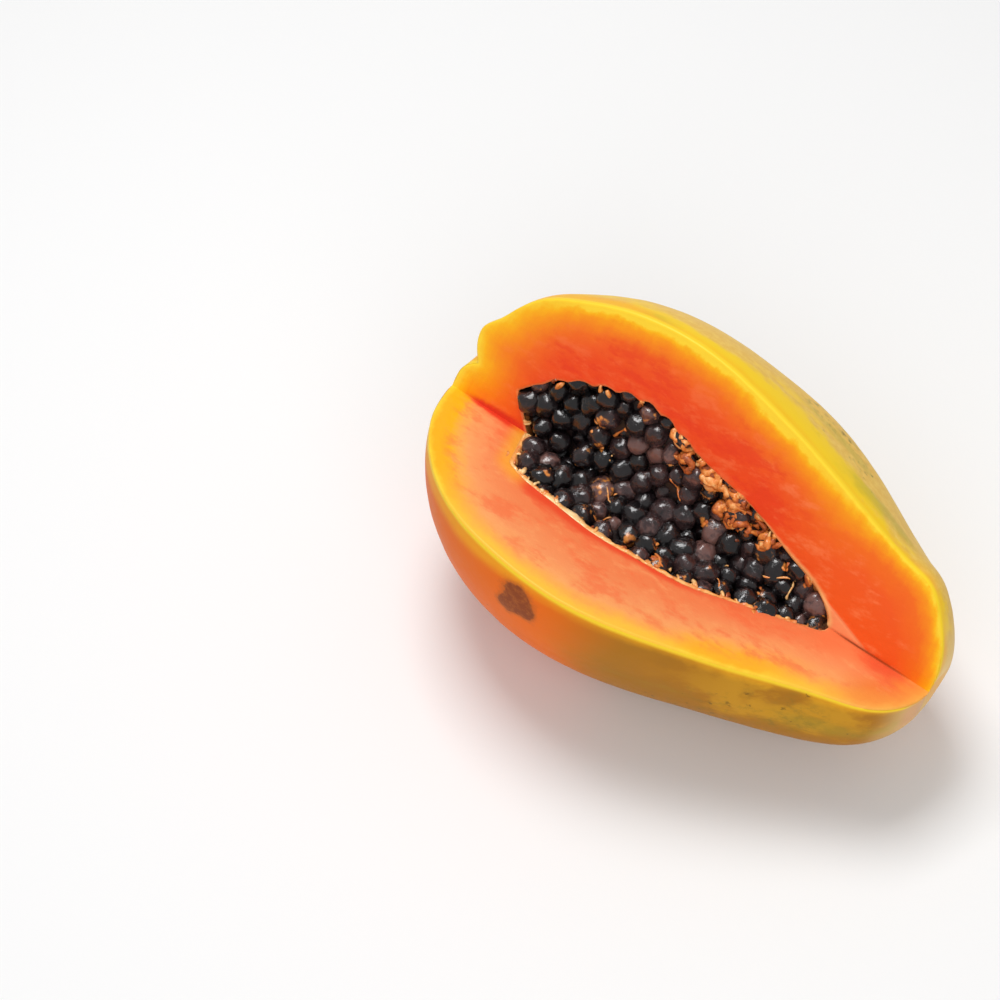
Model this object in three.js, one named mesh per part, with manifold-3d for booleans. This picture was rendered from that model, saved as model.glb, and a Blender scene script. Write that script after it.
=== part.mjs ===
// A ripe papaya with a wedge cut out of it lengthwise, lying on its skin so that its seeds show.
// Millimetres, +Z up. The fruit runs along +X, from its blossom end to its stem end, and the wedge
// faces up and towards -Y. An angle across the fruit starts at +Y, its back, and turns up to +Z.
import * as THREE from 'three';
import { ParametricGeometry } from 'three/addons/geometries/ParametricGeometry.js';
import { mergeVertices } from 'three/addons/utils/BufferGeometryUtils.js';
import Module from 'manifold-3d';

const wasm = await Module();
wasm.setup();

// Body of the fruit; its radius is a round end's times a sum of cosines, in GIRTH's order
const LENGTH = 174;
const GIRTH = [56, 6.5, 4.5, -3.9, 1];
const RIB_COUNT = 5;
const RIB_SHARE = 0.006;
const SCAR_DEPTH = 2.5;
const SCAR_RADIUS = 6;
const BODY_SIDES = 45;
const BODY_STEPS = 36;

// Where the fruit grew fuller or thinner than that: how much at most, how far along it and around it
// (degrees), and how far the change reaches each way
const BODY_SWELLINGS = {
  shoulderBehind: { height: 3.8, x: 111, length: 27, angle: 26, width: 14 },
  rimAtBlossomEnd: { height: 7.9, x: 9, length: 12, angle: 64, width: 35 },
  neckInFront: { height: -4, x: 149, length: 18.5, angle: 168, width: 32 },
  bellyInFront: { height: 1.7, x: 83, length: 21, angle: 165, width: 25 },
  rimAtStemEnd: { height: 5.7, x: 160, length: 9, angle: 64, width: 20 },
  neckBehind: { height: -4.9, x: 169, length: 25.5, angle: 23, width: 33 },
};

// Wedge: where its two cut faces meet, at the blossom end and at the stem end, and which way they go
const CREASE_BLOSSOM = new THREE.Vector3(0, -1.8, -2.9);
const CREASE_STEM = new THREE.Vector3(LENGTH, -4.6, 5.1);
const BACK_FACE_ANGLE = THREE.MathUtils.degToRad(63);
const FRONT_FACE_ANGLE = THREE.MathUtils.degToRad(164);
const CUT_REACH = 130;
const CUT_OVERRUN = 20;

// Seed cavity: a drop that points to the stem end, with a hollow for each rib
const CAVITY_BLOSSOM = new THREE.Vector3(15, 5.4, -4.6);
const CAVITY_STEM = new THREE.Vector3(137, -4.5, 3.8);
const CAVITY_RADIUS = 24;
const CAVITY_TAPER = 0.47;
const CAVITY_LOBE = 0.12;
const CAVITY_LOBE_ANGLE = THREE.MathUtils.degToRad(58);
const CAVITY_RIPPLE = 0.5;
const CAVITY_RIPPLES_ALONG = 11;
const CAVITY_RIPPLES_AROUND = 4;
const CAVITY_SIDES = 30;
const CAVITY_STEPS = 24;
const CAVITY_SWELLINGS = {
  bellyInFront: { height: 3.2, x: 88, length: 30, angle: 168, width: 40 },
  bellyBehind: { height: 5.1, x: 54, length: 15, angle: 52, width: 29 },
  blossomInFront: { height: 2, x: 37, length: 20, angle: 164, width: 32 },
  tipInFront: { height: -1.8, x: 130, length: 10, angle: 166, width: 30 },
};
// Heel of flesh that closes the cavity's blossom end with a slanting wall: where that wall meets the
// crease, and how far it runs along the fruit for each step away from the crease on either face
const HEEL_START = 28.3;
const HEEL_BACK_SLANT = -0.78;
const HEEL_FRONT_SLANT = 0.26;
// Farthest that the cavity's edge is from the crease on a cut face, and how finely it is looked for
const CAVITY_REACH = 38;
const EDGE_STEP = 0.25;

// Seeds, bedded in a dark core a little below the cut faces
const SEED_LENGTH = 7;
const SEED_WIDTH = 5.8;
const SEED_SIZE_SPREAD = 0.12;
const SEED_SPACING = 5.2;
const SEED_TRIES = 9000;
const SEED_SERIES = 2026;
const SEED_BACK_SHARE = 0.55;
const SEED_BED_DEPTH = 3.6;
const SEED_RISE = 1.2;
const SEED_CLEARANCE = 0.5;
const SEED_SIDES = 6;
const SEED_STEPS = 4;

// Tongues of pulp that reach from the cavity's edge over the seeds, and where they start and end
const TONGUE_FIRST = 36;
const TONGUE_LAST = 126;
const TONGUE_PITCH = 10;
const TONGUE_LENGTH = 6.5;
const TONGUE_WIDTH = 3.4;
const TONGUE_SINK = 0.4;
const TONGUE_LEAN = 0.7;
const TONGUE_SIZE_SPREAD = 0.2;
const TONGUE_SERIES = 77;
const TONGUE_SIDES = 6;
const TONGUE_STEPS = 4;

// How the fruit lies
const STEM_DIP = THREE.MathUtils.degToRad(8.3);
const FLAT_DEPTH = 1.2;

const FRUIT_FINISH = { color: 0xf08a2c, roughness: 0.45, metalness: 0 };
const SEEDS_FINISH = { color: 0x1c1512, roughness: 0.25, metalness: 0 };

const BACK = new THREE.Vector3(0, 1, 0);
const UP = new THREE.Vector3(0, 0, 1);
const ALONG = new THREE.Vector3(1, 0, 0);

// Repeatable draws from 0 to 1
function seededDraws(state) {
  return () => {
    state = (state * 16807) % 2147483647;
    return state / 2147483647;
  };
}

function across(angle) {
  return new THREE.Vector3(0, Math.cos(angle), Math.sin(angle));
}

// How much fuller a shape is at a place along and around it
function swelling(swellings, x, angle) {
  return Object.values(swellings).reduce((sum, { height, x: middle, length, angle: towards, width }) => {
    const away = THREE.MathUtils.radToDeg(angle) - towards;
    const around = THREE.MathUtils.euclideanModulo(away + 180, 360) - 180;
    return sum + height * Math.exp(-(((x - middle) / length) ** 2) - (around / width) ** 2);
  }, 0);
}

// Body radius at a turn from 0 (blossom end) to PI (stem end), before its ribs and swellings
function girth(turn) {
  return Math.sin(turn) * GIRTH.reduce((sum, term, order) => sum + term * Math.cos(order * turn), 0);
}

function bodyPoint(u, v, target) {
  const angle = u * 2 * Math.PI;
  const turn = v * Math.PI;
  const x = LENGTH * (1 - Math.cos(turn)) / 2;
  const radius = girth(turn) * (1 + RIB_SHARE * Math.cos(RIB_COUNT * angle))
    + Math.sin(turn) * swelling(BODY_SWELLINGS, x, angle);
  const scar = turn > Math.PI / 2 ? SCAR_DEPTH * Math.exp(-((radius / SCAR_RADIUS) ** 2)) : 0;
  target.set(x - scar, radius * Math.cos(angle), radius * Math.sin(angle));
}

function bodyGeometry() {
  return new ParametricGeometry(bodyPoint, BODY_SIDES, BODY_STEPS);
}

// How far the dipped body is raised, so that its flat spot is at height 0
const dipped = bodyGeometry().rotateY(STEM_DIP);
dipped.computeBoundingBox();
const lift = -dipped.boundingBox.min.z - FLAT_DEPTH;

// Middle of the cavity, and its radius in one direction, at a turn from 0 to PI along it
function cavityMiddle(turn) {
  return new THREE.Vector3().lerpVectors(CAVITY_BLOSSOM, CAVITY_STEM, (1 - Math.cos(turn)) / 2);
}

function cavityRadius(turn, angle) {
  const drop = CAVITY_RADIUS * (1 + CAVITY_TAPER * Math.cos(turn));
  const lobe = 1 + CAVITY_LOBE * Math.cos(RIB_COUNT * (angle - CAVITY_LOBE_ANGLE));
  const ripple = CAVITY_RIPPLE * Math.sin(CAVITY_RIPPLES_ALONG * turn + CAVITY_RIPPLES_AROUND * angle);
  const swollen = swelling(CAVITY_SWELLINGS, cavityMiddle(turn).x, angle);
  return Math.sin(turn) * (drop * lobe + ripple + swollen);
}

function cavityGeometry(clearance) {
  const point = (u, v, target) => {
    const angle = u * 2 * Math.PI;
    const turn = v * Math.PI;
    const radius = Math.max(cavityRadius(turn, angle) - clearance * Math.sin(turn), 0);
    target.copy(cavityMiddle(turn)).addScaledVector(across(angle), radius);
    target.x += clearance * Math.cos(turn);
  };
  return new ParametricGeometry(point, CAVITY_SIDES, CAVITY_STEPS);
}

// How far a point is inside the cavity's wall; negative outside
function depthInCavity(point) {
  const pastHeel = heelWall(0).distanceToPoint(point);
  const share = (point.x - CAVITY_BLOSSOM.x) / (CAVITY_STEM.x - CAVITY_BLOSSOM.x);
  if (share <= 0 || share >= 1) return -1;
  const turn = Math.acos(1 - 2 * share);
  const offset = point.clone().sub(cavityMiddle(turn));
  const angle = Math.atan2(offset.z, offset.y);
  return Math.min(cavityRadius(turn, angle) - Math.hypot(offset.y, offset.z), pastHeel);
}

// Middle of the wedge, and the line where its faces meet, sunk by a depth below both faces
const wedgeMiddle = across((BACK_FACE_ANGLE + FRONT_FACE_ANGLE) / 2);
const wedgeHalfAngle = (FRONT_FACE_ANGLE - BACK_FACE_ANGLE) / 2;

function creaseAt(x, depth) {
  const point = new THREE.Vector3().lerpVectors(CREASE_BLOSSOM, CREASE_STEM, x / LENGTH);
  return point.addScaledVector(wedgeMiddle, -depth / Math.sin(wedgeHalfAngle));
}

// The heel's wall, moved into the cavity by a clearance, and the room on its blossom side
function heelWall(clearance) {
  const onBack = across(BACK_FACE_ANGLE).addScaledVector(ALONG, HEEL_BACK_SLANT);
  const onFront = across(FRONT_FACE_ANGLE).addScaledVector(ALONG, HEEL_FRONT_SLANT);
  const normal = onBack.cross(onFront).normalize();
  const corner = creaseAt(HEEL_START, 0).addScaledVector(normal, clearance);
  return new THREE.Plane().setFromNormalAndCoplanarPoint(normal, corner);
}

function heelGeometry(clearance) {
  const wall = heelWall(clearance);
  const corner = creaseAt(HEEL_START, 0).addScaledVector(wall.normal, clearance);
  return new THREE.BoxGeometry(LENGTH, LENGTH, LENGTH)
    .translate(-LENGTH / 2, 0, 0)
    .applyQuaternion(new THREE.Quaternion().setFromUnitVectors(ALONG, wall.normal))
    .translate(corner.x, corner.y, corner.z);
}

// The wedge that the knife takes out; a depth makes it cut that much deeper on both faces
function wedgeGeometry(depth) {
  const edges = [BACK_FACE_ANGLE, FRONT_FACE_ANGLE].map(
    (angle) => new THREE.Vector2(Math.cos(angle), Math.sin(angle)).multiplyScalar(CUT_REACH));
  const section = new THREE.Shape([new THREE.Vector2(0, 0), ...edges]);
  const geometry = new THREE.ExtrudeGeometry(section, {
    depth: LENGTH + 2 * CUT_OVERRUN, bevelEnabled: false });
  const direction = CREASE_STEM.clone().sub(CREASE_BLOSSOM).normalize();
  geometry.applyMatrix4(new THREE.Matrix4().makeBasis(BACK, UP, ALONG));
  geometry.applyQuaternion(new THREE.Quaternion().setFromUnitVectors(ALONG, direction));
  const start = creaseAt(-CUT_OVERRUN, depth);
  return geometry.translate(start.x, start.y, start.z);
}

// A rounded body with its long axis along +Y
function lump(length, width, sides, steps) {
  return new THREE.SphereGeometry(1, sides, steps).scale(width / 2, length / 2, width / 2);
}

// Seeds on both cut faces, each placed at random and kept a spacing away from the others
function seedGeometries() {
  const draw = seededDraws(SEED_SERIES);
  const placed = [];
  for (let i = 0; i < SEED_TRIES; i++) {
    const x = THREE.MathUtils.lerp(CAVITY_BLOSSOM.x, CAVITY_STEM.x, draw());
    const angle = draw() < SEED_BACK_SHARE ? BACK_FACE_ANGLE : FRONT_FACE_ANGLE;
    const distance = draw() * CAVITY_REACH;
    const size = 1 + SEED_SIZE_SPREAD * (2 * draw() - 1);
    const turn = new THREE.Euler(draw() * 2 * Math.PI, draw() * 2 * Math.PI, 0);
    const point = creaseAt(x, SEED_BED_DEPTH).addScaledVector(across(angle), distance);
    if (depthInCavity(point) < SEED_WIDTH / 2 * size) continue;
    point.addScaledVector(wedgeMiddle, SEED_RISE);
    if (placed.some((seed) => seed.point.distanceTo(point) < SEED_SPACING)) continue;
    placed.push({ point, size, turn });
  }
  return placed.map(({ point, size, turn }) => lump(SEED_LENGTH, SEED_WIDTH, SEED_SIDES, SEED_STEPS)
    .scale(size, size, size)
    .applyQuaternion(new THREE.Quaternion().setFromEuler(turn))
    .translate(point.x, point.y, point.z));
}

// Where the cavity's edge crosses a cut face, as a distance from the crease
function edgeDistance(x, angle) {
  let distance = CAVITY_REACH;
  while (distance > 0 && depthInCavity(creaseAt(x, 0).addScaledVector(across(angle), distance)) < 0) {
    distance -= EDGE_STEP;
  }
  return distance;
}

function tongueGeometries(clearance) {
  const draw = seededDraws(TONGUE_SERIES);
  const tongues = [];
  for (const angle of [BACK_FACE_ANGLE, FRONT_FACE_ANGLE]) {
    for (let x = TONGUE_FIRST; x <= TONGUE_LAST; x += TONGUE_PITCH) {
      const at = x + TONGUE_PITCH * (draw() - 0.5);
      const length = TONGUE_LENGTH * (1 + TONGUE_SIZE_SPREAD * (2 * draw() - 1));
      const lean = new THREE.Vector3(TONGUE_LEAN * (2 * draw() - 1), 0, 0);
      const inward = across(angle).negate().add(lean).normalize();
      const root = creaseAt(at, TONGUE_SINK).addScaledVector(across(angle), edgeDistance(at, angle));
      root.addScaledVector(inward, length / 2 - TONGUE_WIDTH / 2);
      const room = 2 * clearance;
      tongues.push(lump(length + room, TONGUE_WIDTH + room, TONGUE_SIDES, TONGUE_STEPS)
        .applyQuaternion(new THREE.Quaternion().setFromUnitVectors(BACK, inward))
        .translate(root.x, root.y, root.z));
    }
  }
  return tongues;
}

// A closed geometry as a solid that can be joined and cut
function solid(geometry) {
  geometry.deleteAttribute('normal');
  geometry.deleteAttribute('uv');
  const merged = mergeVertices(geometry);
  return new wasm.Manifold(new wasm.Mesh({
    numProp: 3,
    vertProperties: merged.attributes.position.array,
    triVerts: Uint32Array.from(merged.index.array),
  }));
}

// The same, dipped and raised as the fruit lies, with its flat spot at height 0
function laid(geometry) {
  return solid(geometry.rotateY(STEM_DIP).translate(0, 0, lift));
}

// The largest body of a solid, without loose scraps and sealed hollows
function mainBody(whole) {
  return whole.decompose().reduce((best, part) => (part.volume() > best.volume() ? part : best));
}

function meshOf(name, whole, finish) {
  const { vertProperties, triVerts } = mainBody(whole).getMesh();
  const geometry = new THREE.BufferGeometry();
  geometry.setAttribute('position', new THREE.BufferAttribute(vertProperties, 3));
  geometry.setIndex(new THREE.BufferAttribute(triVerts, 1));
  geometry.computeVertexNormals();
  const mesh = new THREE.Mesh(geometry, new THREE.MeshStandardMaterial(finish));
  mesh.name = name;
  return mesh;
}

// The cavity with its heel, smaller all round by a clearance
function cavitySolid(clearance) {
  return laid(cavityGeometry(clearance)).subtract(laid(heelGeometry(clearance)));
}

function fruitSolid() {
  const below = new THREE.BoxGeometry(3 * LENGTH, LENGTH, LENGTH).translate(0, 0, -LENGTH / 2);
  const flesh = laid(bodyGeometry())
    .subtract(solid(below))
    .subtract(laid(wedgeGeometry(0)))
    .subtract(cavitySolid(0));
  return tongueGeometries(0).reduce((whole, tongue) => whole.add(laid(tongue)), flesh);
}

function seedsSolid() {
  const core = cavitySolid(SEED_CLEARANCE).subtract(laid(wedgeGeometry(SEED_BED_DEPTH)));
  const heap = seedGeometries().reduce((whole, seed) => whole.add(laid(seed)), core);
  return tongueGeometries(SEED_CLEARANCE)
    .reduce((whole, tongue) => whole.subtract(laid(tongue)), heap)
    .intersect(cavitySolid(SEED_CLEARANCE));
}

const papaya = new THREE.Group();
papaya.add(meshOf('fruit', fruitSolid(), FRUIT_FINISH));
papaya.add(meshOf('seeds', seedsSolid(), SEEDS_FINISH));

// The origin is below the middle of the fruit's box
const middle = new THREE.Box3().setFromObject(papaya).getCenter(new THREE.Vector3());
papaya.position.set(-middle.x, -middle.y, 0);

export default papaya;
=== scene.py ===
import math

import bmesh
import bpy
import numpy as np
from mathutils import Matrix, Vector, noise


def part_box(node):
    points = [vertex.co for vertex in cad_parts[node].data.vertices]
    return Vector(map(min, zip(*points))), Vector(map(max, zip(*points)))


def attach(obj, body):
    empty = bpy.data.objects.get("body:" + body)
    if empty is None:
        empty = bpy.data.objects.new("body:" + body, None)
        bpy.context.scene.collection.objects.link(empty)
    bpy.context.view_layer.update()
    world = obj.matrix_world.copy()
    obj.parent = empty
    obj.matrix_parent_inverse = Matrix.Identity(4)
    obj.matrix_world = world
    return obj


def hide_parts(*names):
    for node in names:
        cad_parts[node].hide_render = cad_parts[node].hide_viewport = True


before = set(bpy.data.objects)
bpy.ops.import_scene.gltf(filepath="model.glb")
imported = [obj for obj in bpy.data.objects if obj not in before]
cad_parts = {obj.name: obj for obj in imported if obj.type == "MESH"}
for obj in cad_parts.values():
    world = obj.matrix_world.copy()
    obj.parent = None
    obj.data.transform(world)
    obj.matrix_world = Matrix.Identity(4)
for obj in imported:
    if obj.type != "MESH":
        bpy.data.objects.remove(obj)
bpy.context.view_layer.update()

# The fruit's own frame is in millimetres: x from the blossom end to the stem end, y to the back and
# z up. An angle across the fruit starts at the back and turns up.
MM = 0.001
LENGTH = 174.0
GIRTH = (56.0, 6.5, 4.5, -3.9, 1.0)
RIB_COUNT = 5
RIB_SHARE = 0.006
SCAR_DEPTH = 2.5
SCAR_RADIUS = 6.0
# Where a shape is fuller or thinner: height, place along it, reach, place around it (degrees), reach
BODY_SWELLINGS = {
    "shoulder behind": (3.8, 111, 27, 26, 14),
    "rim at the blossom end": (7.9, 9, 12, 64, 35),
    "neck in front": (-4, 149, 18.5, 168, 32),
    "belly in front": (1.7, 83, 21, 165, 25),
    "rim at the stem end": (5.7, 160, 9, 64, 20),
    "neck behind": (-4.9, 169, 25.5, 23, 33),
}

# The two cut faces, each named by its angle, and the crease where they meet
CREASE_BLOSSOM = np.array((0.0, -1.8, -2.9))
CREASE_STEM = np.array((LENGTH, -4.6, 5.1))
BACK_FACE = math.radians(63)
FRONT_FACE = math.radians(164)
WEDGE_MIDDLE = (BACK_FACE + FRONT_FACE) / 2
WEDGE_HALF = (FRONT_FACE - BACK_FACE) / 2
KEPT_TURN = 2 * math.pi - 2 * WEDGE_HALF

# Seed cavity, and the heel of flesh that closes its blossom end
CAVITY_BLOSSOM = np.array((15.0, 5.4, -4.6))
CAVITY_STEM = np.array((137.0, -4.5, 3.8))
CAVITY_RADIUS = 24.0
CAVITY_TAPER = 0.47
CAVITY_LOBE = 0.12
CAVITY_LOBE_ANGLE = math.radians(58)
CAVITY_RIPPLE = 0.5
CAVITY_RIPPLES_ALONG = 11
CAVITY_RIPPLES_AROUND = 4
CAVITY_REACH = 38.0
CAVITY_SWELLINGS = {
    "belly in front": (3.2, 88, 30, 168, 40),
    "belly behind": (5.1, 54, 15, 52, 29),
    "blossom in front": (2, 37, 20, 164, 32),
    "tip in front": (-1.8, 130, 10, 166, 30),
}
HEEL_START = 28.3
HEEL_BACK_SLANT = -0.78
HEEL_FRONT_SLANT = 0.26
HEEL_CORNER = 14.0
# Stretch of the crease, inside the cavity, that the flesh is measured from
HEART_FIRST = 46.0
HEART_LAST = 112.0

STEM_DIP = math.radians(8.3)
FLAT_DEPTH = 1.2


# Shape of the fruit

def across(angle):
    return np.array((0.0, math.cos(angle), math.sin(angle)))


def swelling(swellings, x, angle):
    total = np.zeros_like(x)
    for height, middle, length, towards, width in swellings.values():
        around = (np.degrees(angle) - towards + 180) % 360 - 180
        total += height * np.exp(-((x - middle) / length) ** 2 - (around / width) ** 2)
    return total


def body_radius(x, angle):
    turn = np.arccos(np.clip(1 - 2 * x / LENGTH, -1, 1))
    girth = sum(term * np.cos(order * turn) for order, term in enumerate(GIRTH))
    ribs = 1 + RIB_SHARE * np.cos(RIB_COUNT * angle)
    return np.sin(turn) * (girth * ribs + swelling(BODY_SWELLINGS, x, angle))


def in_body(points):
    x, y, z = points.T
    return (x > 0) & (x < LENGTH) & (np.hypot(y, z) < body_radius(x, np.arctan2(z, y)))


def crease_at(x, depth=0.0):
    """Where the cut faces meet, or would meet if both were cut deeper."""
    share = np.atleast_1d(x)[:, None] / LENGTH
    sink = depth / math.sin(WEDGE_HALF)
    return CREASE_BLOSSOM + share * (CREASE_STEM - CREASE_BLOSSOM) - sink * across(WEDGE_MIDDLE)


def face_normal(face):
    return across(face + math.pi / 2) if face == BACK_FACE else across(face - math.pi / 2)


def on_face(x, distance, face, rise=0.0):
    """A place on a cut face, at a distance from the crease and raised above the face."""
    return crease_at(x)[0] + across(face) * distance + face_normal(face) * rise


def past_heel(points):
    on_back = across(BACK_FACE) + (HEEL_BACK_SLANT, 0, 0)
    on_front = across(FRONT_FACE) + (HEEL_FRONT_SLANT, 0, 0)
    normal = np.cross(on_back, on_front)
    normal /= np.linalg.norm(normal)
    return (points - crease_at(HEEL_START)) @ normal


def depth_in_cavity(points):
    share = (points[:, 0] - CAVITY_BLOSSOM[0]) / (CAVITY_STEM[0] - CAVITY_BLOSSOM[0])
    turn = np.arccos(np.clip(1 - 2 * share, -1, 1))
    middle = CAVITY_BLOSSOM + np.outer((1 - np.cos(turn)) / 2, CAVITY_STEM - CAVITY_BLOSSOM)
    y, z = (points - middle).T[1:]
    angle = np.arctan2(z, y)
    drop = CAVITY_RADIUS * (1 + CAVITY_TAPER * np.cos(turn))
    lobe = 1 + CAVITY_LOBE * np.cos(RIB_COUNT * (angle - CAVITY_LOBE_ANGLE))
    ripple = CAVITY_RIPPLE * np.sin(CAVITY_RIPPLES_ALONG * turn + CAVITY_RIPPLES_AROUND * angle)
    radius = np.sin(turn) * (drop * lobe + ripple + swelling(CAVITY_SWELLINGS, points[:, 0], angle))
    depth = np.minimum(radius - np.hypot(y, z), past_heel(points))
    return np.where((share > 0) & (share < 1), depth, -1)


def in_cavity(points):
    return depth_in_cavity(points) > 0


def reach(origins, rays, inside, far=140.0):
    """How far each ray runs before it leaves a shape."""
    low, high = np.zeros(len(rays)), np.full(len(rays), far)
    for _ in range(24):
        middle = (low + high) / 2
        held = inside(origins + rays * middle[:, None])
        low, high = np.where(held, middle, low), np.where(held, high, middle)
    return low


def lip_line(face):
    """The cavity's edge on a cut face, as places along the fruit and distances from the crease."""
    x = np.arange(CAVITY_BLOSSOM[0], CAVITY_STEM[0], 0.5)
    far = np.linspace(0, CAVITY_REACH, 381)
    places = crease_at(x)[:, None] + across(face) * far[:, None]
    held = in_cavity(places.reshape(-1, 3)).reshape(len(x), len(far))
    return x, np.where(held.any(1), far[held.shape[1] - 1 - held[:, ::-1].argmax(1)], 0)


LIPS = {face: lip_line(face) for face in (BACK_FACE, FRONT_FACE)}


def lip_at(x, face):
    return float(np.interp(x, *LIPS[face]))


def dipped(points):
    x, y, z = np.asarray(points, float).reshape(-1, 3).T
    cosine, sine = math.cos(STEM_DIP), math.sin(STEM_DIP)
    return np.stack((x * cosine + z * sine, y, z * cosine - x * sine), 1)


def resting_move():
    """How far the dipped fruit is moved to lie where the frame has it."""
    x, angle = np.meshgrid(np.linspace(0, LENGTH, 400), np.linspace(0, 2 * math.pi, 181))
    radius = body_radius(x, angle)
    skin = dipped(np.stack((x, radius * np.cos(angle), radius * np.sin(angle)), -1))
    low, high = (np.array(corner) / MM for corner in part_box("fruit"))
    move = (low + high) / 2 - (skin.min(0) + skin.max(0)) / 2
    move[2] = -skin[:, 2].min() - FLAT_DEPTH
    return move


RESTING_MOVE = resting_move()


def laid(points):
    """From the fruit's own frame to the object's, in metres."""
    return (dipped(points) + RESTING_MOVE) * MM


def seeded_draws(state, rows=0, columns=0):
    """Draws from 0 to 1: one after another, or a whole table of them."""
    def draws(state):
        while True:
            state = state * 16807 % 2147483647
            yield state / 2147483647
    source = draws(state)
    if rows:
        return np.array([[next(source) for _ in range(columns)] for _ in range(rows)])
    return source


def ruffle(points, size, series=0.0):
    """Smooth noise from -1 to 1 at points, with lumps of a size."""
    shift = Vector((series, series * 0.37, series * 0.71))
    return np.array([noise.noise(Vector(point) / size + shift) for point in points])


def smooth_step(values, start, end):
    share = np.clip((values - start) / (end - start), 0, 1)
    return share * share * (3 - 2 * share)


def move_verts(bm, places):
    for vert, place in zip(bm.verts, places):
        vert.co = place


def place_in_object(bm):
    move_verts(bm, laid(np.array([vert.co for vert in bm.verts])))
    for face in bm.faces:
        face.smooth = True


def finished(name, bm, materials):
    mesh = bpy.data.meshes.new(name)
    bm.to_mesh(mesh)
    bm.free()
    for material in materials:
        mesh.materials.append(material)
    piece = bpy.data.objects.new(name, mesh)
    bpy.context.scene.collection.objects.link(piece)
    return piece


# Fruit

FRUIT_STEPS_ALONG = 170
FRUIT_STEPS_THROUGH = 44
FRUIT_STEPS_AROUND = 150
END_CROWDING = 0.08
EDGE_CROWDING = 0.11
SKIN_LUMP = (0.35, 26.0)
SKIN_DIMPLE = (0.1, 6.0)
KNIFE_WAVE = (0.28, 24.0)
FLESH_GRAIN = (0.07, 2.6)
RIM_ROUNDING = 0.6
LIP_ROUNDING = 1.1
# Hollows that seeds pressed into the wall along the back lip, and where the cavity's tip is fuller
HOLLOW_DEPTH = 0.9
HOLLOW_PITCH = 7.4
HOLLOW_REACH = 5.0
TIP_FULLNESS = 1.6
TIP_PLACE = 131.0
TIP_LENGTH = 7.0
# Dent in the back face's rim, near the blossom end: how deep, and from the crease where it is deepest
NICK_DEPTH = 4.0
NICK_PLACE = 12.2
NICK_LOWER = 3.1
NICK_UPPER = 3.4
NICK_SHARPNESS = 1.4
NICK_REACH = 6.0
# The rim stands out above the dent: how far, and from the crease where it does
BULGE_HEIGHT = 2.0
BULGE_PLACE = 22.0
BULGE_LENGTH = 5.0
BULGE_REACH = 10.0
# Grooves along the crease at either end of the cavity: depth, first and last place, width
BLOSSOM_GROOVE = (0.8, 4.0, 30.0, 1.3)
STEM_GROOVE = (0.5, 141.0, 162.0, 0.7)
# Thin flap on the back face beyond the cavity's tip
FLAP_RISE = 0.3
FLAP_START = 129.0
FLAP_WIDTH = 9.5
FLAP_TAPER = 0.4
# Patches of the skin: place along the fruit, place around it (degrees), and reach both ways
RIPE_PATCHES = ((92, 60, 20, 9), (60, 66, 26, 5), (18, 80, 14, 30), (120, 340, 26, 22), (70, 290, 30, 20))
GREEN_PATCHES = ((138, 54, 16, 7), (112, 40, 20, 5), (150, 185, 26, 14), (150, 300, 22, 18), (92, 4, 26, 9),
                 (48, 340, 18, 10), (146, 346, 22, 12), (24, 20, 10, 16))
SPECKLED_PATCHES = ((146, 184, 24, 22), (120, 200, 26, 20), (104, 36, 30, 14), (60, 250, 40, 30),
                    (76, 0, 50, 30), (128, 330, 30, 30))
BRUISE_PATCHES = ((60.5, 174, 5.2, 4.6), (64.5, 179, 3.8, 4.0), (58, 182, 3.6, 3.8))
SCAR_PATCHES = ((173, 169, 3.4, 60),)


def crowded(place, crowding):
    """From -1..1 to 0..1, with both ends nearer together."""
    share = (place + 1) / 2
    return share - crowding * math.sin(2 * math.pi * share)


def spun_shell(bm, along, through, around):
    """Like a hollow orange with a wedge left out: from radius 1 to 2, about the x axis."""
    bmesh.ops.create_grid(bm, x_segments=along, y_segments=through, size=1)
    for vert in bm.verts:
        turn = crowded(vert.co.x, END_CROWDING) * math.pi
        radius = 1 + crowded(vert.co.y, EDGE_CROWDING)
        vert.co = (-radius * math.cos(turn), radius * math.sin(turn), 0)
    ring = bm.verts[:] + bm.edges[:] + bm.faces[:]
    bmesh.ops.spin(bm, geom=ring, axis=(1, 0, 0), cent=(0, 0, 0), angle=KEPT_TURN, steps=around,
                   use_duplicate=False, use_merge=False)
    bmesh.ops.remove_doubles(bm, verts=bm.verts[:], dist=1e-5)
    bmesh.ops.recalc_face_normals(bm, faces=bm.faces[:])


def shell_rays(ball, depth=0.0):
    """For each point of a spun shell: its share of the way out, its angle, and its ray in the fruit."""
    radius = np.linalg.norm(ball, axis=1)
    turn = np.arccos(np.clip(-ball[:, 0] / radius, -1, 1))
    angle = np.arctan2(ball[:, 2], ball[:, 1])
    angle = np.where(angle < -1e-4, angle + 2 * math.pi, angle)
    on_crease = np.hypot(ball[:, 1], ball[:, 2]) < 1e-4
    angle = np.where(on_crease, 0, angle)
    origins = crease_at(HEART_FIRST + (HEART_LAST - HEART_FIRST) * turn / math.pi, depth)
    along = (CREASE_STEM - CREASE_BLOSSOM) / np.linalg.norm(CREASE_STEM - CREASE_BLOSSOM)
    outward = np.stack((np.zeros(len(ball)), np.cos(FRONT_FACE + angle), np.sin(FRONT_FACE + angle)), 1)
    rays = -np.cos(turn)[:, None] * along + np.sin(turn)[:, None] * outward
    return radius - 1, angle, on_crease, origins, rays


def gap_to(line, points):
    """Distance from each point to a line of corner points."""
    start, step = line[:-1], np.diff(line, axis=0)
    away = points[:, None] - start
    share = np.clip((away * step).sum(2) / np.maximum((step ** 2).sum(1), 1e-9), 0, 1)
    return np.linalg.norm(away - share[..., None] * step, axis=2).min(1)


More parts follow.
